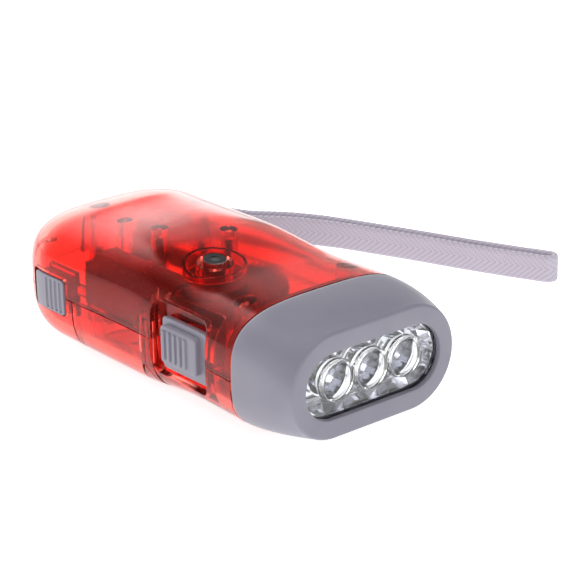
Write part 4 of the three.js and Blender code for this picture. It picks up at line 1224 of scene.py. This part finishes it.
@dataclass(frozen=True)
class Head:
    """The grey head with its window, lenses, reflector and lamps."""

    outline: Outline
    ring_count: int = 224
    window_count: int = 160
    tray_count: int = 48
    dish_count: int = 20
    lamp_sides: int = 48
    facets: int = 24
    facet_angle: float = 8.0
    flank_steps: int = 36
    edge_steps: int = 10
    flare_steps: int = 8
    dome_steps: int = 14
    rim_steps: int = 5
    cup_steps: int = 5
    lamps: tuple[int, int, int] = (-1, 0, 1)
    edge: float = 0.8
    hair: float = 0.01
    chamfer: tuple[float, float] = (0.25, 0.07)
    front_wall: float = 1.15
    window: tuple[float, float] = (37.6, 14.8)
    flare: float = 0.5
    flare_depth: float = 0.5
    inner_shares: tuple[float, ...] = (1.0, 0.8, 0.5, 0.2)
    spigot_x: float = 32.6
    spigot_inset: float = 2.3
    throat_inset: float = 3.5
    throat_run: float = 1.2
    lens_x: tuple[float, float] = (50.6, 51.8)
    lens_lip: float = 0.9
    disc_radius: float = 4.55
    disc_edge: float = 0.7
    disc_groove: float = 0.2
    disc_web: float = 0.25
    disc_crown: float = 1.5
    disc_proud: float = 0.8
    disc_round: float = 0.22
    pitch: float = 9.5
    rise: float = 0.5
    tray_x: tuple[float, float] = (45.45, 50.45)
    tray_wall: float = 0.6
    tray_draft: float = 1.6
    tray_draft_run: float = 1.0
    tray_draft_fall: float = 0.45
    tray_flare: float = 0.2
    cup_x: tuple[float, float] = (41.2, 47.2)
    cup_mouth: float = 4.4
    cup_wall: float = 0.4
    lamp_hole: float = 2.65
    lamp_radius: float = 2.5
    lamp_height: float = 3.9
    lamp_flange: float = 2.9
    lamp_flange_height: float = 1.0
    lamp_chamfer: float = 0.15

    def build_bezel(self, grey: bpy.types.Material) -> None:
        """Makes the head's shell as one loft that goes out over the nose and back inside.

        Args:
            grey: its finish.
        """
        out = self.outline
        turns = out.turns(self.ring_count)
        start = out.collar_x + out.seam_gap / 2
        edge_x = out.nose_x - self.edge
        cavity = out.nose_x - self.front_wall
        deep, shallow = self.chamfer
        rings = [
            out.head_ring(0, self.spigot_inset, self.spigot_x, turns),
            out.head_ring(0, self.spigot_inset, start - self.hair, turns),
            out.head_ring(0, deep, start, turns),
            out.head_ring(0, shallow, start + shallow, turns),
        ]
        for i in range(1, self.flank_steps + 1):
            share = i / self.flank_steps
            rings.append(out.head_ring(share, 0, start + (edge_x - start) * share, turns))
        for i in range(1, self.edge_steps + 1):
            turn = i / self.edge_steps * math.pi / 2
            inset = self.edge * (1 - math.cos(turn))
            rings.append(out.head_ring(1, inset, edge_x + self.edge * math.sin(turn), turns))
        width, height = self.window
        for i in range(self.flare_steps + 1):
            turn = i / self.flare_steps * math.pi / 2
            spread = self.flare * (1 - math.sin(turn))
            sink = self.front_wall * self.flare_depth * (1 - math.cos(turn))
            rings.append(out.stadium(out.nose_x - sink, width + spread, height + spread, turns))
        rings.append(out.stadium(cavity + self.hair, width, height, turns))
        for share in self.inner_shares:
            rings.append(out.head_ring(share, out.wall, start + (cavity - start) * share, turns))
        rings.append(out.head_ring(0, self.throat_inset, start + self.throat_run, turns))
        rings.append(out.head_ring(0, self.throat_inset, self.spigot_x, turns))
        Solid.loft(rings, closed=True).finish("head_shell", "casing", "grey_plastic", grey, ["head_bezel"])

    def build_window(self, clear: bpy.types.Material) -> None:
        """Makes the clear window with a crowned lens behind it for each lamp.

        Args:
            clear: its finish.
        """
        out = self.outline
        turns = out.turns(self.window_count)
        width, height = self.window[0] + 2 * self.lens_lip, self.window[1] + 2 * self.lens_lip
        plate = Solid.loft([out.stadium(x, width, height, turns) for x in self.lens_x])
        for side in self.lamps:
            crown = [
                (self.disc_radius * math.cos(turn), -self.disc_edge - self.disc_crown * math.sin(turn))
                for turn in np.linspace(0, math.pi / 2, self.dome_steps)[:-1]
            ]
            front = self.lens_x[1] - self.lens_x[0] + self.disc_proud
            rim = [
                (
                    self.disc_radius - self.disc_round * (1 - math.sin(turn)),
                    front - self.disc_round * (1 - math.cos(turn)),
                )
                for turn in np.linspace(0, math.pi / 2, self.rim_steps)
            ]
            profile = [(0, front), *rim, *crown, (0, -self.disc_edge - self.disc_crown)]
            centre = self.lamp_place(self.lens_x[0], side)
            wide, deep = self.disc_radius + self.disc_groove, self.lens_x[1] - self.lens_x[0] - self.disc_web
            moat = [(0, -PAST), (wide, -PAST), (wide, deep), (0, deep)]
            plate.cut(Solid.turned(moat, centre, ALONG_X, SIDES_RING))
            plate.add(Solid.turned(profile, centre, ALONG_X, SIDES_RING))
        plate.finish("window", "casing", "clear_plastic", clear, ["lens_window"])

    def lamp_place(self, x: float, side: int) -> tuple[float, float, float]:
        """A place on the axis of one lamp, from -1 to 1."""
        return (x, side * self.pitch, self.outline.axis_z + self.rise)

    def cup(self, grow: float, side: int) -> Solid:
        """One lamp's bowl, in flat facets.

        Args:
            grow: how much bigger it is, nought for the hollow.
            side: which lamp, from -1 to 1.

        Returns:
            The solid.
        """
        hole, mouth = self.lamp_hole, self.cup_mouth
        depth = self.cup_x[1] - self.cup_x[0]
        profile: list[tuple[float, float]] = []
        for i in range(self.cup_steps + 1):
            share = i / self.cup_steps
            profile.append((math.sqrt(hole**2 + (mouth**2 - hole**2) * share) + grow, depth * share))
        if grow:
            profile = [(0, 0), *profile, (0, depth)]
        else:
            profile = [(0, -PAST), (hole, -PAST), *profile, (mouth, depth + PAST), (0, depth + PAST)]
        return Solid.turned(profile, self.lamp_place(self.cup_x[0], side), ALONG_X, self.facets)

    def build_reflector(self, mirror: bpy.types.Material) -> None:
        """Makes the mirrored tray with three faceted bowls.

        Args:
            mirror: its finish.
        """
        out = self.outline
        turns = out.turns(self.tray_count)
        width, height = self.window[0] + self.tray_wall, self.window[1] + self.tray_wall
        wall = self.tray_wall

        def sleeve(inset: float, low: float, high: float) -> Solid:
            """A stadium block."""
            size = (width - 2 * inset, height - 2 * inset)
            return Solid.loft([out.stadium(x, *size, turns) for x in (low, high)])

        floor_x, mouth_x = self.tray_x[0] + wall, self.tray_x[1]
        lip = self.lens_lip + wall / 2
        tray = sleeve(0, *self.tray_x).add(sleeve(wall / 2 - lip, mouth_x - wall, mouth_x))
        depths = [
            (floor_x, wall + self.tray_draft),
            (floor_x + self.tray_draft_run, wall + self.tray_draft * self.tray_draft_fall),
            (mouth_x - wall, wall),
            (mouth_x + PAST, wall - self.tray_flare),
        ]
        few = out.turns(self.dish_count)
        tray.cut(Solid.loft([out.stadium(x, width - 2 * inset, height - 2 * inset, few) for x, inset in depths]))
        tray.add(*[self.cup(self.cup_wall, side) for side in self.lamps])
        tray.cut(*[self.cup(0, side) for side in self.lamps])
        tray.finish("reflector_tray", "casing", "reflector_coat", mirror, ["reflector"], sharp=self.facet_angle)

    def build_lamps(self, resin: bpy.types.Material) -> None:
        """Makes the three clear lamp bodies.

        Args:
            resin: their finish.
        """
        radius, height = self.lamp_radius, self.lamp_height
        wide, thick, chamfer = self.lamp_flange, self.lamp_flange_height, self.lamp_chamfer
        flange = [(0, 0), (wide - chamfer, 0), (wide, chamfer), (wide, thick - chamfer), (wide - chamfer, thick)]
        dome = [
            (radius * math.cos(turn), height + radius * math.sin(turn))
            for turn in np.linspace(0, math.pi / 2, self.dome_steps)[:-1]
        ]
        profile = [*flange, (radius, thick), *dome, (0, height + radius)]
        for name, side in zip(("left", "centre", "right"), self.lamps):
            centre = self.lamp_place(Places.box(f"led_{name}")[0][0], side)
            Solid.turned(profile, centre, ALONG_X, self.lamp_sides).finish(
                f"lamp_{name}", "casing", "clear_plastic", resin, [f"led_{name}"]
            )


@dataclass(frozen=True)
class Switch:
    """The grey slide on the side of the body."""

    outline: Outline
    plate_x: tuple[float, float] = (9.8, 25.4)
    plate_half: float = 6.0
    plate_y: tuple[float, float] = (-22.819, -21.319)
    plate_corner: float = 1.0
    plate_round: float = 0.25
    pad_x: tuple[float, float] = (10.85, 23.15)
    pad_y: tuple[float, float] = (-24.319, -22.1)
    pad_z: tuple[float, float] = (-4.0, 4.6)
    pad_corner: float = 0.9
    pad_round: float = 0.35
    rib_count: int = 5
    rib_x: tuple[float, float] = (0.9, 9.2)
    rib_margin: float = 0.8
    rib_corner: float = 0.45
    rib_rise: float = 0.45
    rib_sink: float = 0.3
    rib_round: float = 0.15
    stem_x: tuple[float, float] = (15.4, 19.8)
    stem_y: tuple[float, float] = (-22.1, -17.42)
    stem_half: float = 1.3

    def build(self, grey: bpy.types.Material) -> None:
        """Makes the slide.

        Args:
            grey: its finish.
        """
        axis = self.outline.axis_z
        plate_z = (axis - self.plate_half, axis + self.plate_half)
        plate = Solid.prism(rounded_box(self.plate_x, plate_z, self.plate_corner), *self.plate_y, Axis.Y)
        plate.soften(self.plate_round)
        z = (axis + self.pad_z[0], axis + self.pad_z[1])
        pad = Solid.prism(rounded_box(self.pad_x, z, self.pad_corner), *self.pad_y, Axis.Y).soften(self.pad_round)
        run = (self.pad_x[0] + self.rib_x[0], self.pad_x[0] + self.rib_x[1])
        pitch = (run[1] - run[0]) / (2 * self.rib_count - 1)
        rib_y = (self.pad_y[0] - self.rib_rise, self.pad_y[0] + self.rib_sink)
        rib_z = (z[0] + self.rib_margin, z[1] - self.rib_margin)
        ribs = []
        for i in range(self.rib_count):
            start = run[0] + 2 * i * pitch
            outline = rounded_box((start, start + pitch), rib_z, pitch * self.rib_corner, 5)
            ribs.append(Solid.prism(outline, *rib_y, Axis.Y).soften(self.rib_round, 2))
        stem = Solid.block(self.stem_x, self.stem_y, (axis - self.stem_half, axis + self.stem_half))
        plate.add(pad, stem, *ribs).finish("switch_slide", "switch", "grey_plastic", grey, ["switch_button"])


@dataclass(frozen=True)
class Latch:
    """The catch near the tail, which holds the lever shut: a grey cap on a red guide."""

    outline: Outline
    cap_x: tuple[float, float] = (-37.45, -26.15)
    cap_half: float = 4.2
    cap_corner: float = 1.0
    proud: float = 0.35
    plate_y: tuple[float, float] = (-19.39, -18.19)
    plate_margin: float = 1.0
    arm_end: float = -20.55
    arm_y: tuple[float, float] = (-19.39, -17.79)
    arm_rise: tuple[float, float] = (0.15, 2.25)
    finger_width: float = 1.0
    finger_drop: float = 2.6
    finger_lap: float = 1.0
    groove_count: int = 4
    groove_sides: int = 24
    groove_start: float = 3.6
    groove_half: float = 3.7
    groove_round: float = 0.55

    def build(self, grey: bpy.types.Material, red: bpy.types.Material) -> None:
        """Makes the catch.

        Args:
            grey: the cap's finish.
            red: the guide's finish.
        """
        middle, margin = self.outline.axis_z - LATCH_DROP, self.plate_margin
        z = (middle - self.cap_half, middle + self.cap_half)
        cap = Solid.prism(rounded_box(self.cap_x, z, self.cap_corner), -FAR, self.plate_y[1], Axis.Y)
        cap.within(self.outline.form(-self.proud, *FORM_RINGS))
        plate = Solid.block((self.cap_x[0] + margin, self.cap_x[1]), self.plate_y, (z[0] - margin, z[1] + margin))
        top, end = self.outline.top_z, self.arm_end
        arm_z = (top + self.arm_rise[0], top + self.arm_rise[1])
        arm = Solid.block((self.cap_x[1] - margin, end), self.arm_y, arm_z)
        finger_z = (self.outline.bottom_z - self.finger_drop, top + self.finger_lap)
        finger = Solid.block((end - self.finger_width, end), self.arm_y, finger_z)
        plate.add(arm, finger).finish("latch_guide", "latch", "red_shell", red, ["latch_button"])
        start = self.cap_x[0] + self.groove_start
        pitch = (self.cap_x[1] - start) / (2 * self.groove_count + 1)
        for i in range(self.groove_count):
            x = start + (2 * i + 1) * pitch + pitch / 2
            depth = self.outline.half(x, -self.proud)[0]
            half, radius = self.groove_half, pitch * self.groove_round
            profile = [(0, -half), (radius, -half), (radius, half), (0, half)]
            cap.cut(Solid.turned(profile, (x, -depth, middle), (0, 0, 1), self.groove_sides))
        cap.finish("latch_slide", "latch", "grey_plastic", grey, ["latch_button"])


@dataclass(frozen=True)
class Cradle:
    """The grey cover over the coil."""

    outline: Outline
    x: tuple[float, float] = (-20.1, 8.7)
    front: float = -20.79
    back: float = -12.5
    low: float = 16.0
    rise: float = 10.3
    chamfer: float = 3.2
    wall: float = 1.0
    front_length: float = 18.0
    slant: float = 3.0
    notch: tuple[float, float] = (3.0, -18.72)
    skin_gap: float = 2.3
    rings: tuple[int, int, int] = (120, 48, 20)
    edge_round: float = 0.3

    def build(self, grey: bpy.types.Material) -> None:
        """Makes the cover.

        Args:
            grey: its finish.
        """
        low, high, wall = self.low, self.low + self.rise, self.wall
        shoulder = self.front + self.chamfer
        profile = np.array([
            (self.front, low), (self.front + wall, low), (self.front + wall, high - self.chamfer - wall / 2),
            (shoulder + wall / 2, high - wall), (self.back, high - wall), (self.back, high),
            (shoulder, high), (self.front, high - self.chamfer),
        ])
        cover = Solid.prism(profile, *self.x, Axis.X)
        end = self.x[0] + self.front_length
        wedge = np.array([
            (end, low - PAST), (self.x[1] + PAST, low - PAST), (self.x[1] + PAST, high - self.chamfer),
            (end + self.slant, high - self.chamfer),
        ])
        cover.cut(Solid.prism(wedge, -FAR, FAR, Axis.Y))
        cover.cut(Solid.block((self.notch[0], FAR), (-FAR, self.notch[1]), (low - PAST, high + PAST)))
        cover.within(self.outline.form(self.skin_gap, *self.rings, PAST)).soften(self.edge_round, 2)
        cover.finish("coil_cover", "casing", "grey_plastic", grey, ["coil_cradle"])


@dataclass(frozen=True)
class Windings:
    """The wound parts: the coil's copper wire and the return spring."""

    copper_radius: float = 0.19
    copper_pitch: float = 0.42
    copper_steps: int = 20
    copper_sides: int = 6
    copper_inset: float = 0.42
    layers: tuple[tuple[float, int], ...] = ((-0.2, 1), (0.22, -1))
    flange: float = 0.9
    flange_gap: float = 0.3
    squareness: float = 0.5
    spring_radius: float = 2.3
    spring_wire: float = 0.35
    spring_turns: float = 2.25
    spring_pitch: float = 1.15
    spring_end: float = 150.0
    spring_legs: tuple[float, float] = (5.5, 11.0)
    spring_steps: int = 80
    spring_sides: int = 12
    sharp: float = 80.0

    def coil(self, copper: bpy.types.Material) -> None:
        """Winds the coil in two layers on its bobbin.

        Args:
            copper: the wire's finish.
        """
        box = Places.box("coil_winding")
        bobbin = Places.box("coil_bobbin")
        centre = (box[0] + box[1]) / 2
        pitch, steps, square = self.copper_pitch, self.copper_steps, self.squareness
        outer = (box[1] - box[0])[1:] / 2 - self.copper_inset
        start = bobbin[0][0] + self.flange + self.flange_gap
        end = bobbin[1][0] - self.flange - self.flange_gap
        turns = int((end - start) / pitch)
        points = []
        for lift, way in self.layers:
            size = outer + lift
            for i in range(turns * steps + 1):
                angle = i / steps * 2 * math.pi
                across, up = math.cos(angle), math.sin(angle)
                run = i / steps * pitch
                points.append((
                    start + run if way > 0 else start + turns * pitch - run,
                    centre[1] + size[0] * math.copysign(abs(across) ** square, across),
                    centre[2] + size[1] * math.copysign(abs(up) ** square, up),
                ))
        wire = Solid.tube(np.array(points), self.copper_radius, self.copper_sides)
        wire.finish("coil_wire", "casing", "copper_wire", copper, ["coil_winding"], sharp=self.sharp)

    def spring(self, steel: bpy.types.Material) -> None:
        """Winds the spring that swings the lever out.

        Args:
            steel: the wire's finish.
        """
        (x, y), radius, wire = SPRING_PLACE, self.spring_radius, self.spring_wire
        high = Places.box("return_spring")[1][2] - wire
        low = high - self.spring_turns * self.spring_pitch
        last = math.radians(self.spring_end)
        first = last - self.spring_turns * 2 * math.pi
        angles = np.linspace(first, last, self.spring_steps)
        levels = low + (high - low) * np.linspace(0, 1, self.spring_steps)
        points = np.array([
            (x + radius * math.cos(angle), y + radius * math.sin(angle), z) for angle, z in zip(angles, levels)
        ])
        short, long = self.spring_legs
        foot = points[0] - short * np.array([-math.sin(first), math.cos(first), 0])
        reach = points[-1] + long * np.array([-math.sin(last), math.cos(last), 0])
        spring = Solid.tube(np.vstack([foot, points, reach]), wire, self.spring_sides)
        spring.finish("lever_spring", "casing", "steel", steel, ["return_spring"], sharp=self.sharp)


@dataclass(frozen=True)
class Strap:
    """The wrist strap: one length of woven tape, doubled into a loop."""

    width: float = 7.0
    thickness: float = 1.6
    leg_gap: float = 3.4
    route: tuple[tuple[float, float, float], ...] = (
        (-45.5, 14.4, 16), (-46.4, 15.95, 16), (-47.3, 17.5, 16), (-48.7, 20.2, 15.9), (-50.4, 25.4, 15.6),
        (-50.6, 31, 15), (-48.8, 37, 13.8), (-43.1, 44.7, 12.1), (-37.3, 52.3, 11.4), (-30.6, 60.4, 10.1),
        (-23.9, 69, 8), (-15.6, 78, 5.9), (-5.6, 85.8, 4.4), (4.4, 92, 3.7), (11.6, 95.6, 3.6),
    )
    tow: float = 1.5
    slope: float = 1.1
    relief: float = 0.16
    ripple: float = 0.012
    edge: float = 0.1
    fold: tuple[float, float, float] = (0.8, 0.2, 0.45)
    step: float = 0.25
    across: int = 14
    spline_steps: int = 24
    tip_steps: int = 14
    knot_way: tuple[float, float] = (-0.5, 0.866)
    knot_radius: float = 1.35
    knot_swing: float = 0.65
    knot_depth: float = 1.5
    knot_cord: float = 1.05
    knot_steps: int = 96
    knot_sides: int = 16

    def middle_line(self) -> np.ndarray:
        """The line midway between the two legs.

        Returns:
            Points along it.
        """
        given = np.array(self.route, float)
        ends = [2 * given[0] - given[1], *given, 2 * given[-1] - given[-2]]
        line = []
        for a, b, c, d in zip(ends, ends[1:], ends[2:], ends[3:]):
            knots = np.cumsum([0] + [np.linalg.norm(q - p) ** 0.5 for p, q in ((a, b), (b, c), (c, d))])
            for t in np.linspace(knots[1], knots[2], self.spline_steps, endpoint=False):
                first = [
                    p * (knots[i + 1] - t) / (knots[i + 1] - knots[i]) + q * (t - knots[i]) / (knots[i + 1] - knots[i])
                    for i, (p, q) in enumerate(((a, b), (b, c), (c, d)))
                ]
                second = [
                    first[i] * (knots[i + 2] - t) / (knots[i + 2] - knots[i])
                    + first[i + 1] * (t - knots[i]) / (knots[i + 2] - knots[i])
                    for i in range(2)
                ]
                line.append(
                    second[0] * (knots[2] - t) / (knots[2] - knots[1])
                    + second[1] * (t - knots[1]) / (knots[2] - knots[1])
                )
        line.append(given[-1])
        return np.array(line)

    def loop(self) -> np.ndarray:
        """The tape's own line: out along one leg, round the tip and back.

        Returns:
            Points along it, evenly spaced.
        """
        line = self.middle_line()
        way = np.gradient(line, axis=0)
        way /= np.linalg.norm(way, axis=1, keepdims=True)
        side = np.cross(way, (0, 0, 1))
        side /= np.linalg.norm(side, axis=1, keepdims=True)
        half = self.leg_gap / 2
        tip = [
            line[-1] + side[-1] * half * math.cos(turn) + way[-1] * half * math.sin(turn)
            for turn in np.linspace(0, math.pi, self.tip_steps)[1:-1]
        ]
        whole = np.vstack([line + side * half, tip, (line - side * half)[::-1]])
        run = np.concatenate([[0], np.cumsum(np.linalg.norm(np.diff(whole, axis=0), axis=1))])
        even = np.linspace(0, run[-1], int(run[-1] / self.step) + 1)
        return np.stack([np.interp(even, run, whole[:, i]) for i in range(3)], axis=1)

    def build(self, tape: bpy.types.Material) -> None:
        """Makes the strap, its knot and its line.

        Args:
            tape: the finish of both.
        """
        line = self.loop()
        way = np.gradient(line, axis=0)
        way[:, 2] = 0
        way /= np.linalg.norm(way, axis=1, keepdims=True)
        side = np.cross(way, (0, 0, 1))
        half_w, half_t = self.width / 2 - self.edge, self.thickness / 2 - self.relief * 0.5
        section: list[tuple[float, float]] = []
        for i in range(self.across + 1):
            section.append((half_t, -half_w + 2 * half_w * i / self.across))
        for i in range(self.across + 1):
            section.append((-half_t, half_w - 2 * half_w * i / self.across))
        shape = np.array(section)
        start, run, fall = self.fold
        taper = 1 - np.clip((np.abs(shape[:, 1]) - half_w * start) / (half_w * run), 0, 1) ** 2 * fall
        rings, groove_shades = [], []
        for i, place in enumerate(line):
            along = i * self.step
            phase = (along + np.abs(shape[:, 1]) * self.slope) / self.tow
            row = np.abs(np.sin(math.pi * phase))
            lift = np.sqrt(row) * self.relief
            out = np.sign(shape[:, 0]) * (np.abs(shape[:, 0]) * taper + lift - self.relief * 0.5)
            height = shape[:, 1] * (1 + self.ripple * math.sin(math.pi * along / self.tow * 2))
            rings.append(place + np.outer(out, side[i]) + np.outer(height, (0, 0, 1)))
            # painted shade: how deep each point lies in a groove between tows, which darkens the tape there
            groove_shades.append((1 - row) ** 2)
        strap = Solid.loft(rings)
        mark = strap.obj.data.attributes.new("groove_shade", "FLOAT", "POINT")
        mark.data.foreach_set("value", np.concatenate(groove_shades).astype(np.float32))
        piece = strap.finish("strap_tape", "casing", "strap_fabric", tape, ["wrist_strap"], sharp=70)
        self.build_knot(tape)

    def build_knot(self, tape: bpy.types.Material) -> None:
        """Ties the knot that keeps the strap in the casing.

        Args:
            tape: its finish.
        """
        box = Places.box("strap_knot")
        centre = (box[0] + box[1]) / 2
        way = Vector((*self.knot_way, 0.0))
        side = Vector((way.y, -way.x, 0.0))
        points = []
        for i in range(self.knot_steps):
            turn = i / self.knot_steps * 2 * math.pi
            radius = self.knot_radius + self.knot_swing * math.cos(3 * turn)
            spot = side * radius * math.cos(2 * turn) + Vector((0, 0, 1)) * radius * math.sin(2 * turn)
            points.append(centre + np.array(spot + way * self.knot_depth * math.sin(3 * turn)))
        knot = Solid.tube(np.array(points), self.knot_cord, self.knot_sides)
        knot.finish("strap_end_knot", "casing", "strap_fabric", tape, ["strap_knot"])


class Studio:
    """Floor, light and camera."""

    AZIMUTH, ELEVATION, ROLL = 50.125, 21.406, -0.815
    DISTANCE, LENS, SENSOR, SIGHT = 529.983, 143.838, 36.0, 10.0
    TARGET = (5.153, 17.22, 16.05)
    WALLS = (0.38, 0.64, 0.6, 0.06)
    PANEL_TOP = ((0.88, 1.21, 1.0), 0.235, 0.34, 2.1, 0.0)
    PANEL_END = ((-0.695, -0.719, 0.0), -0.07, 0.06, 0.0, 1.0)
    PANEL_SIDE = ((-0.906, 0.423, 0.0), 0.45, 0.8, 0.0, 1.0)
    FLOOR_HALF, FLOOR_DEPTH, FLOOR_GLOW, FLOOR_GRAIN, FLOOR_ROUGHNESS = 3000.0, 10.0, 0.8, 40.0, 0.9
    PAPER = ((0.75, 0.75, 0.75), (0.78, 0.78, 0.78))
    LAMP_AIM = (0.0, 0.0, 0.02)
    OVERHEAD = ((-0.1, 0.1, 1.2), (1.2, 1.2), 12.0)
    FRONT = ((0.7, -0.6, 0.55), (0.5, 0.5), 3.8)

    def camera(self) -> None:
        """Puts the camera where the photograph was taken from."""
        turn, lift, roll = (math.radians(v) for v in (self.AZIMUTH, self.ELEVATION, self.ROLL))
        back = Vector((math.sin(turn) * math.cos(lift), -math.cos(turn) * math.cos(lift), math.sin(lift)))
        right = Vector((math.cos(turn), math.sin(turn), 0))
        up = back.cross(right)
        right, up = right * math.cos(roll) + up * math.sin(roll), up * math.cos(roll) - right * math.sin(roll)
        data = bpy.data.cameras.new("camera")
        data.lens = self.LENS
        data.sensor_width = self.SENSOR
        data.clip_end = self.SIGHT
        eye = bpy.data.objects.new("camera", data)
        spot = (Vector(self.TARGET) + back * self.DISTANCE) * MM
        eye.matrix_world = Matrix.Translation(spot) @ Matrix((right, up, back)).transposed().to_4x4()
        bpy.context.scene.collection.objects.link(eye)
        bpy.context.scene.camera = eye

    def lamp(self, name: str, place: Sequence[float], size: Sequence[float], power: float) -> None:
        """Hangs a soft light that faces the torch and that glossy surfaces don't show.

        Args:
            name: its name.
            place: where it hangs, in metres.
            size: its width and height, in metres.
            power: its strength in watts.
        """
        data = bpy.data.lights.new(name, "AREA")
        data.shape = "RECTANGLE"
        data.size, data.size_y = size
        data.energy = power
        light = bpy.data.objects.new(name, data)
        light.location = place
        light.rotation_euler = (Vector(place) - Vector(self.LAMP_AIM)).to_track_quat("Z", "Y").to_euler()
        light.visible_glossy = False
        bpy.context.scene.collection.objects.link(light)

    def surroundings(self) -> bpy.types.World:
        """Makes light walls and a dark ceiling, with a bright soft panel behind the tail.

        Returns:
            The world.
        """
        world = bpy.data.worlds.new("studio")
        world.use_nodes = True
        tree = world.node_tree
        aim = Paint.add_to(tree, "ShaderNodeTexCoord", {}, {}, "Generated")

        def fade(way: Sequence[float], low: float, high: float, start: float, end: float) -> Value:
            """A smooth change of light along a direction.

            Args:
                way: the direction.
                low: where along it the change starts.
                high: where it ends.
                start: the light before it.
                end: the light past it.

            Returns:
                The light.
            """
            along = Paint.add_to(tree, "ShaderNodeVectorMath", {"operation": "DOT_PRODUCT"}, {0: aim, 1: way}, "Value")
            sockets = {"Value": along, "From Min": low, "From Max": high, "To Min": start, "To Max": end}
            return Paint.add_to(tree, "ShaderNodeMapRange", {"interpolation_type": "SMOOTHSTEP"}, sockets)

        walls = fade((0.0, 0.0, 1.0), *self.WALLS)
        panel = fade(*self.PANEL_TOP) * fade(*self.PANEL_END) * fade(*self.PANEL_SIDE)
        background = tree.nodes["Background"].inputs
        background["Color"].default_value = (1.0, 1.0, 1.0, 1.0)
        tree.links.new((walls + panel).socket, background["Strength"])
        return world

    def build(self) -> None:
        """Lays the floor and lights it."""
        scene = bpy.context.scene
        scene.world = self.surroundings()
        span = (-self.FLOOR_HALF, self.FLOOR_HALF)
        floor = Solid.block(span, span, (-self.FLOOR_DEPTH, 0)).obj
        floor.name = "floor"
        paint = Paint("floor_paper")
        paper = paint.ramp(paint.noise(self.FLOOR_GRAIN, 2.0), *CLOUD_RANGE)
        floor.data.materials.append(
            paint.surface(
                Base_Color=paint.blend(paper, *self.PAPER),
                Roughness=self.FLOOR_ROUGHNESS,
                Emission_Color=(1.0, 1.0, 1.0),
                Emission_Strength=self.FLOOR_GLOW,
            )
        )
        self.lamp("overhead_light", *self.OVERHEAD)
        self.lamp("front_light", *self.FRONT)
        scene.view_settings.view_transform = "Standard"
        scene.view_settings.look = "None"
        scene.cycles.max_bounces = 20
        scene.cycles.transmission_bounces = 20
        scene.cycles.transparent_max_bounces = 16
        scene.cycles.sample_clamp_indirect = 6.0


def dress_frame(nodes: dict[str, bpy.types.Object], finishes: Finishes) -> None:
    """Gives the frame's own solids their finishes.

    Args:
        nodes: the solids by name.
        finishes: the finishes.
    """
    table = {
        "led_board": finishes.board,
        "control_board": finishes.board,
        "storage_cell": finishes.jacket,
        "capacitor": finishes.dark,
        "switch_can": finishes.steel,
        "lever_sector": finishes.red,
        "lever_pin": finishes.steel,
        "drive_gear": finishes.dark,
        # the second gear and the coil bobbin take the inner grey, whose darkness is partly painted shade
        "second_gear": finishes.inner,
        "rotor_pinion": finishes.white,
        "rotor_magnet": finishes.magnet,
        "drive_axle": finishes.steel,
        "second_axle": finishes.steel,
        "stator_core": finishes.iron,
        "coil_bobbin": finishes.inner,
        **{f"case_screw_{i}": finishes.steel for i in range(1, 5)},
    }
    for name, material in table.items():
        solid = nodes[name]
        for place in solid.material_slots:
            place.material = material
        if not solid.material_slots:
            solid.data.materials.append(material)
        LOG.info("%s dressed", name)


def main() -> None:
    """Builds the torch round the frame, part by part."""
    logging.basicConfig(level=logging.INFO, format="%(message)s")
    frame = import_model()
    studio = Studio()
    studio.camera()
    finishes = Finishes()
    Strap().build(finishes.tape)
    outline = Outline()
    pocket = Pocket()
    bush = Bush(outline)
    bush.build(finishes.dark, finishes.steel)
    casing = Casing(outline, pocket, bush)
    casing.build_top(finishes.red)
    casing.build_bottom(finishes.red)
    Lever(casing).build(finishes.red)
    head = Head(outline)
    head.build_bezel(finishes.grey)
    head.build_window(finishes.clear)
    head.build_reflector(finishes.mirror)
    head.build_lamps(finishes.lamp)
    Switch(outline).build(finishes.grey)
    Latch(outline).build(finishes.grey, finishes.red)
    # the coil cover wears the inner grey, darkened as painted shade
    Cradle(outline).build(finishes.inner)
    windings = Windings()
    windings.coil(finishes.copper)
    windings.spring(finishes.steel)
    dress_frame(frame["nodes"], finishes)
    studio.build()


if __name__ == "__main__":
    main()
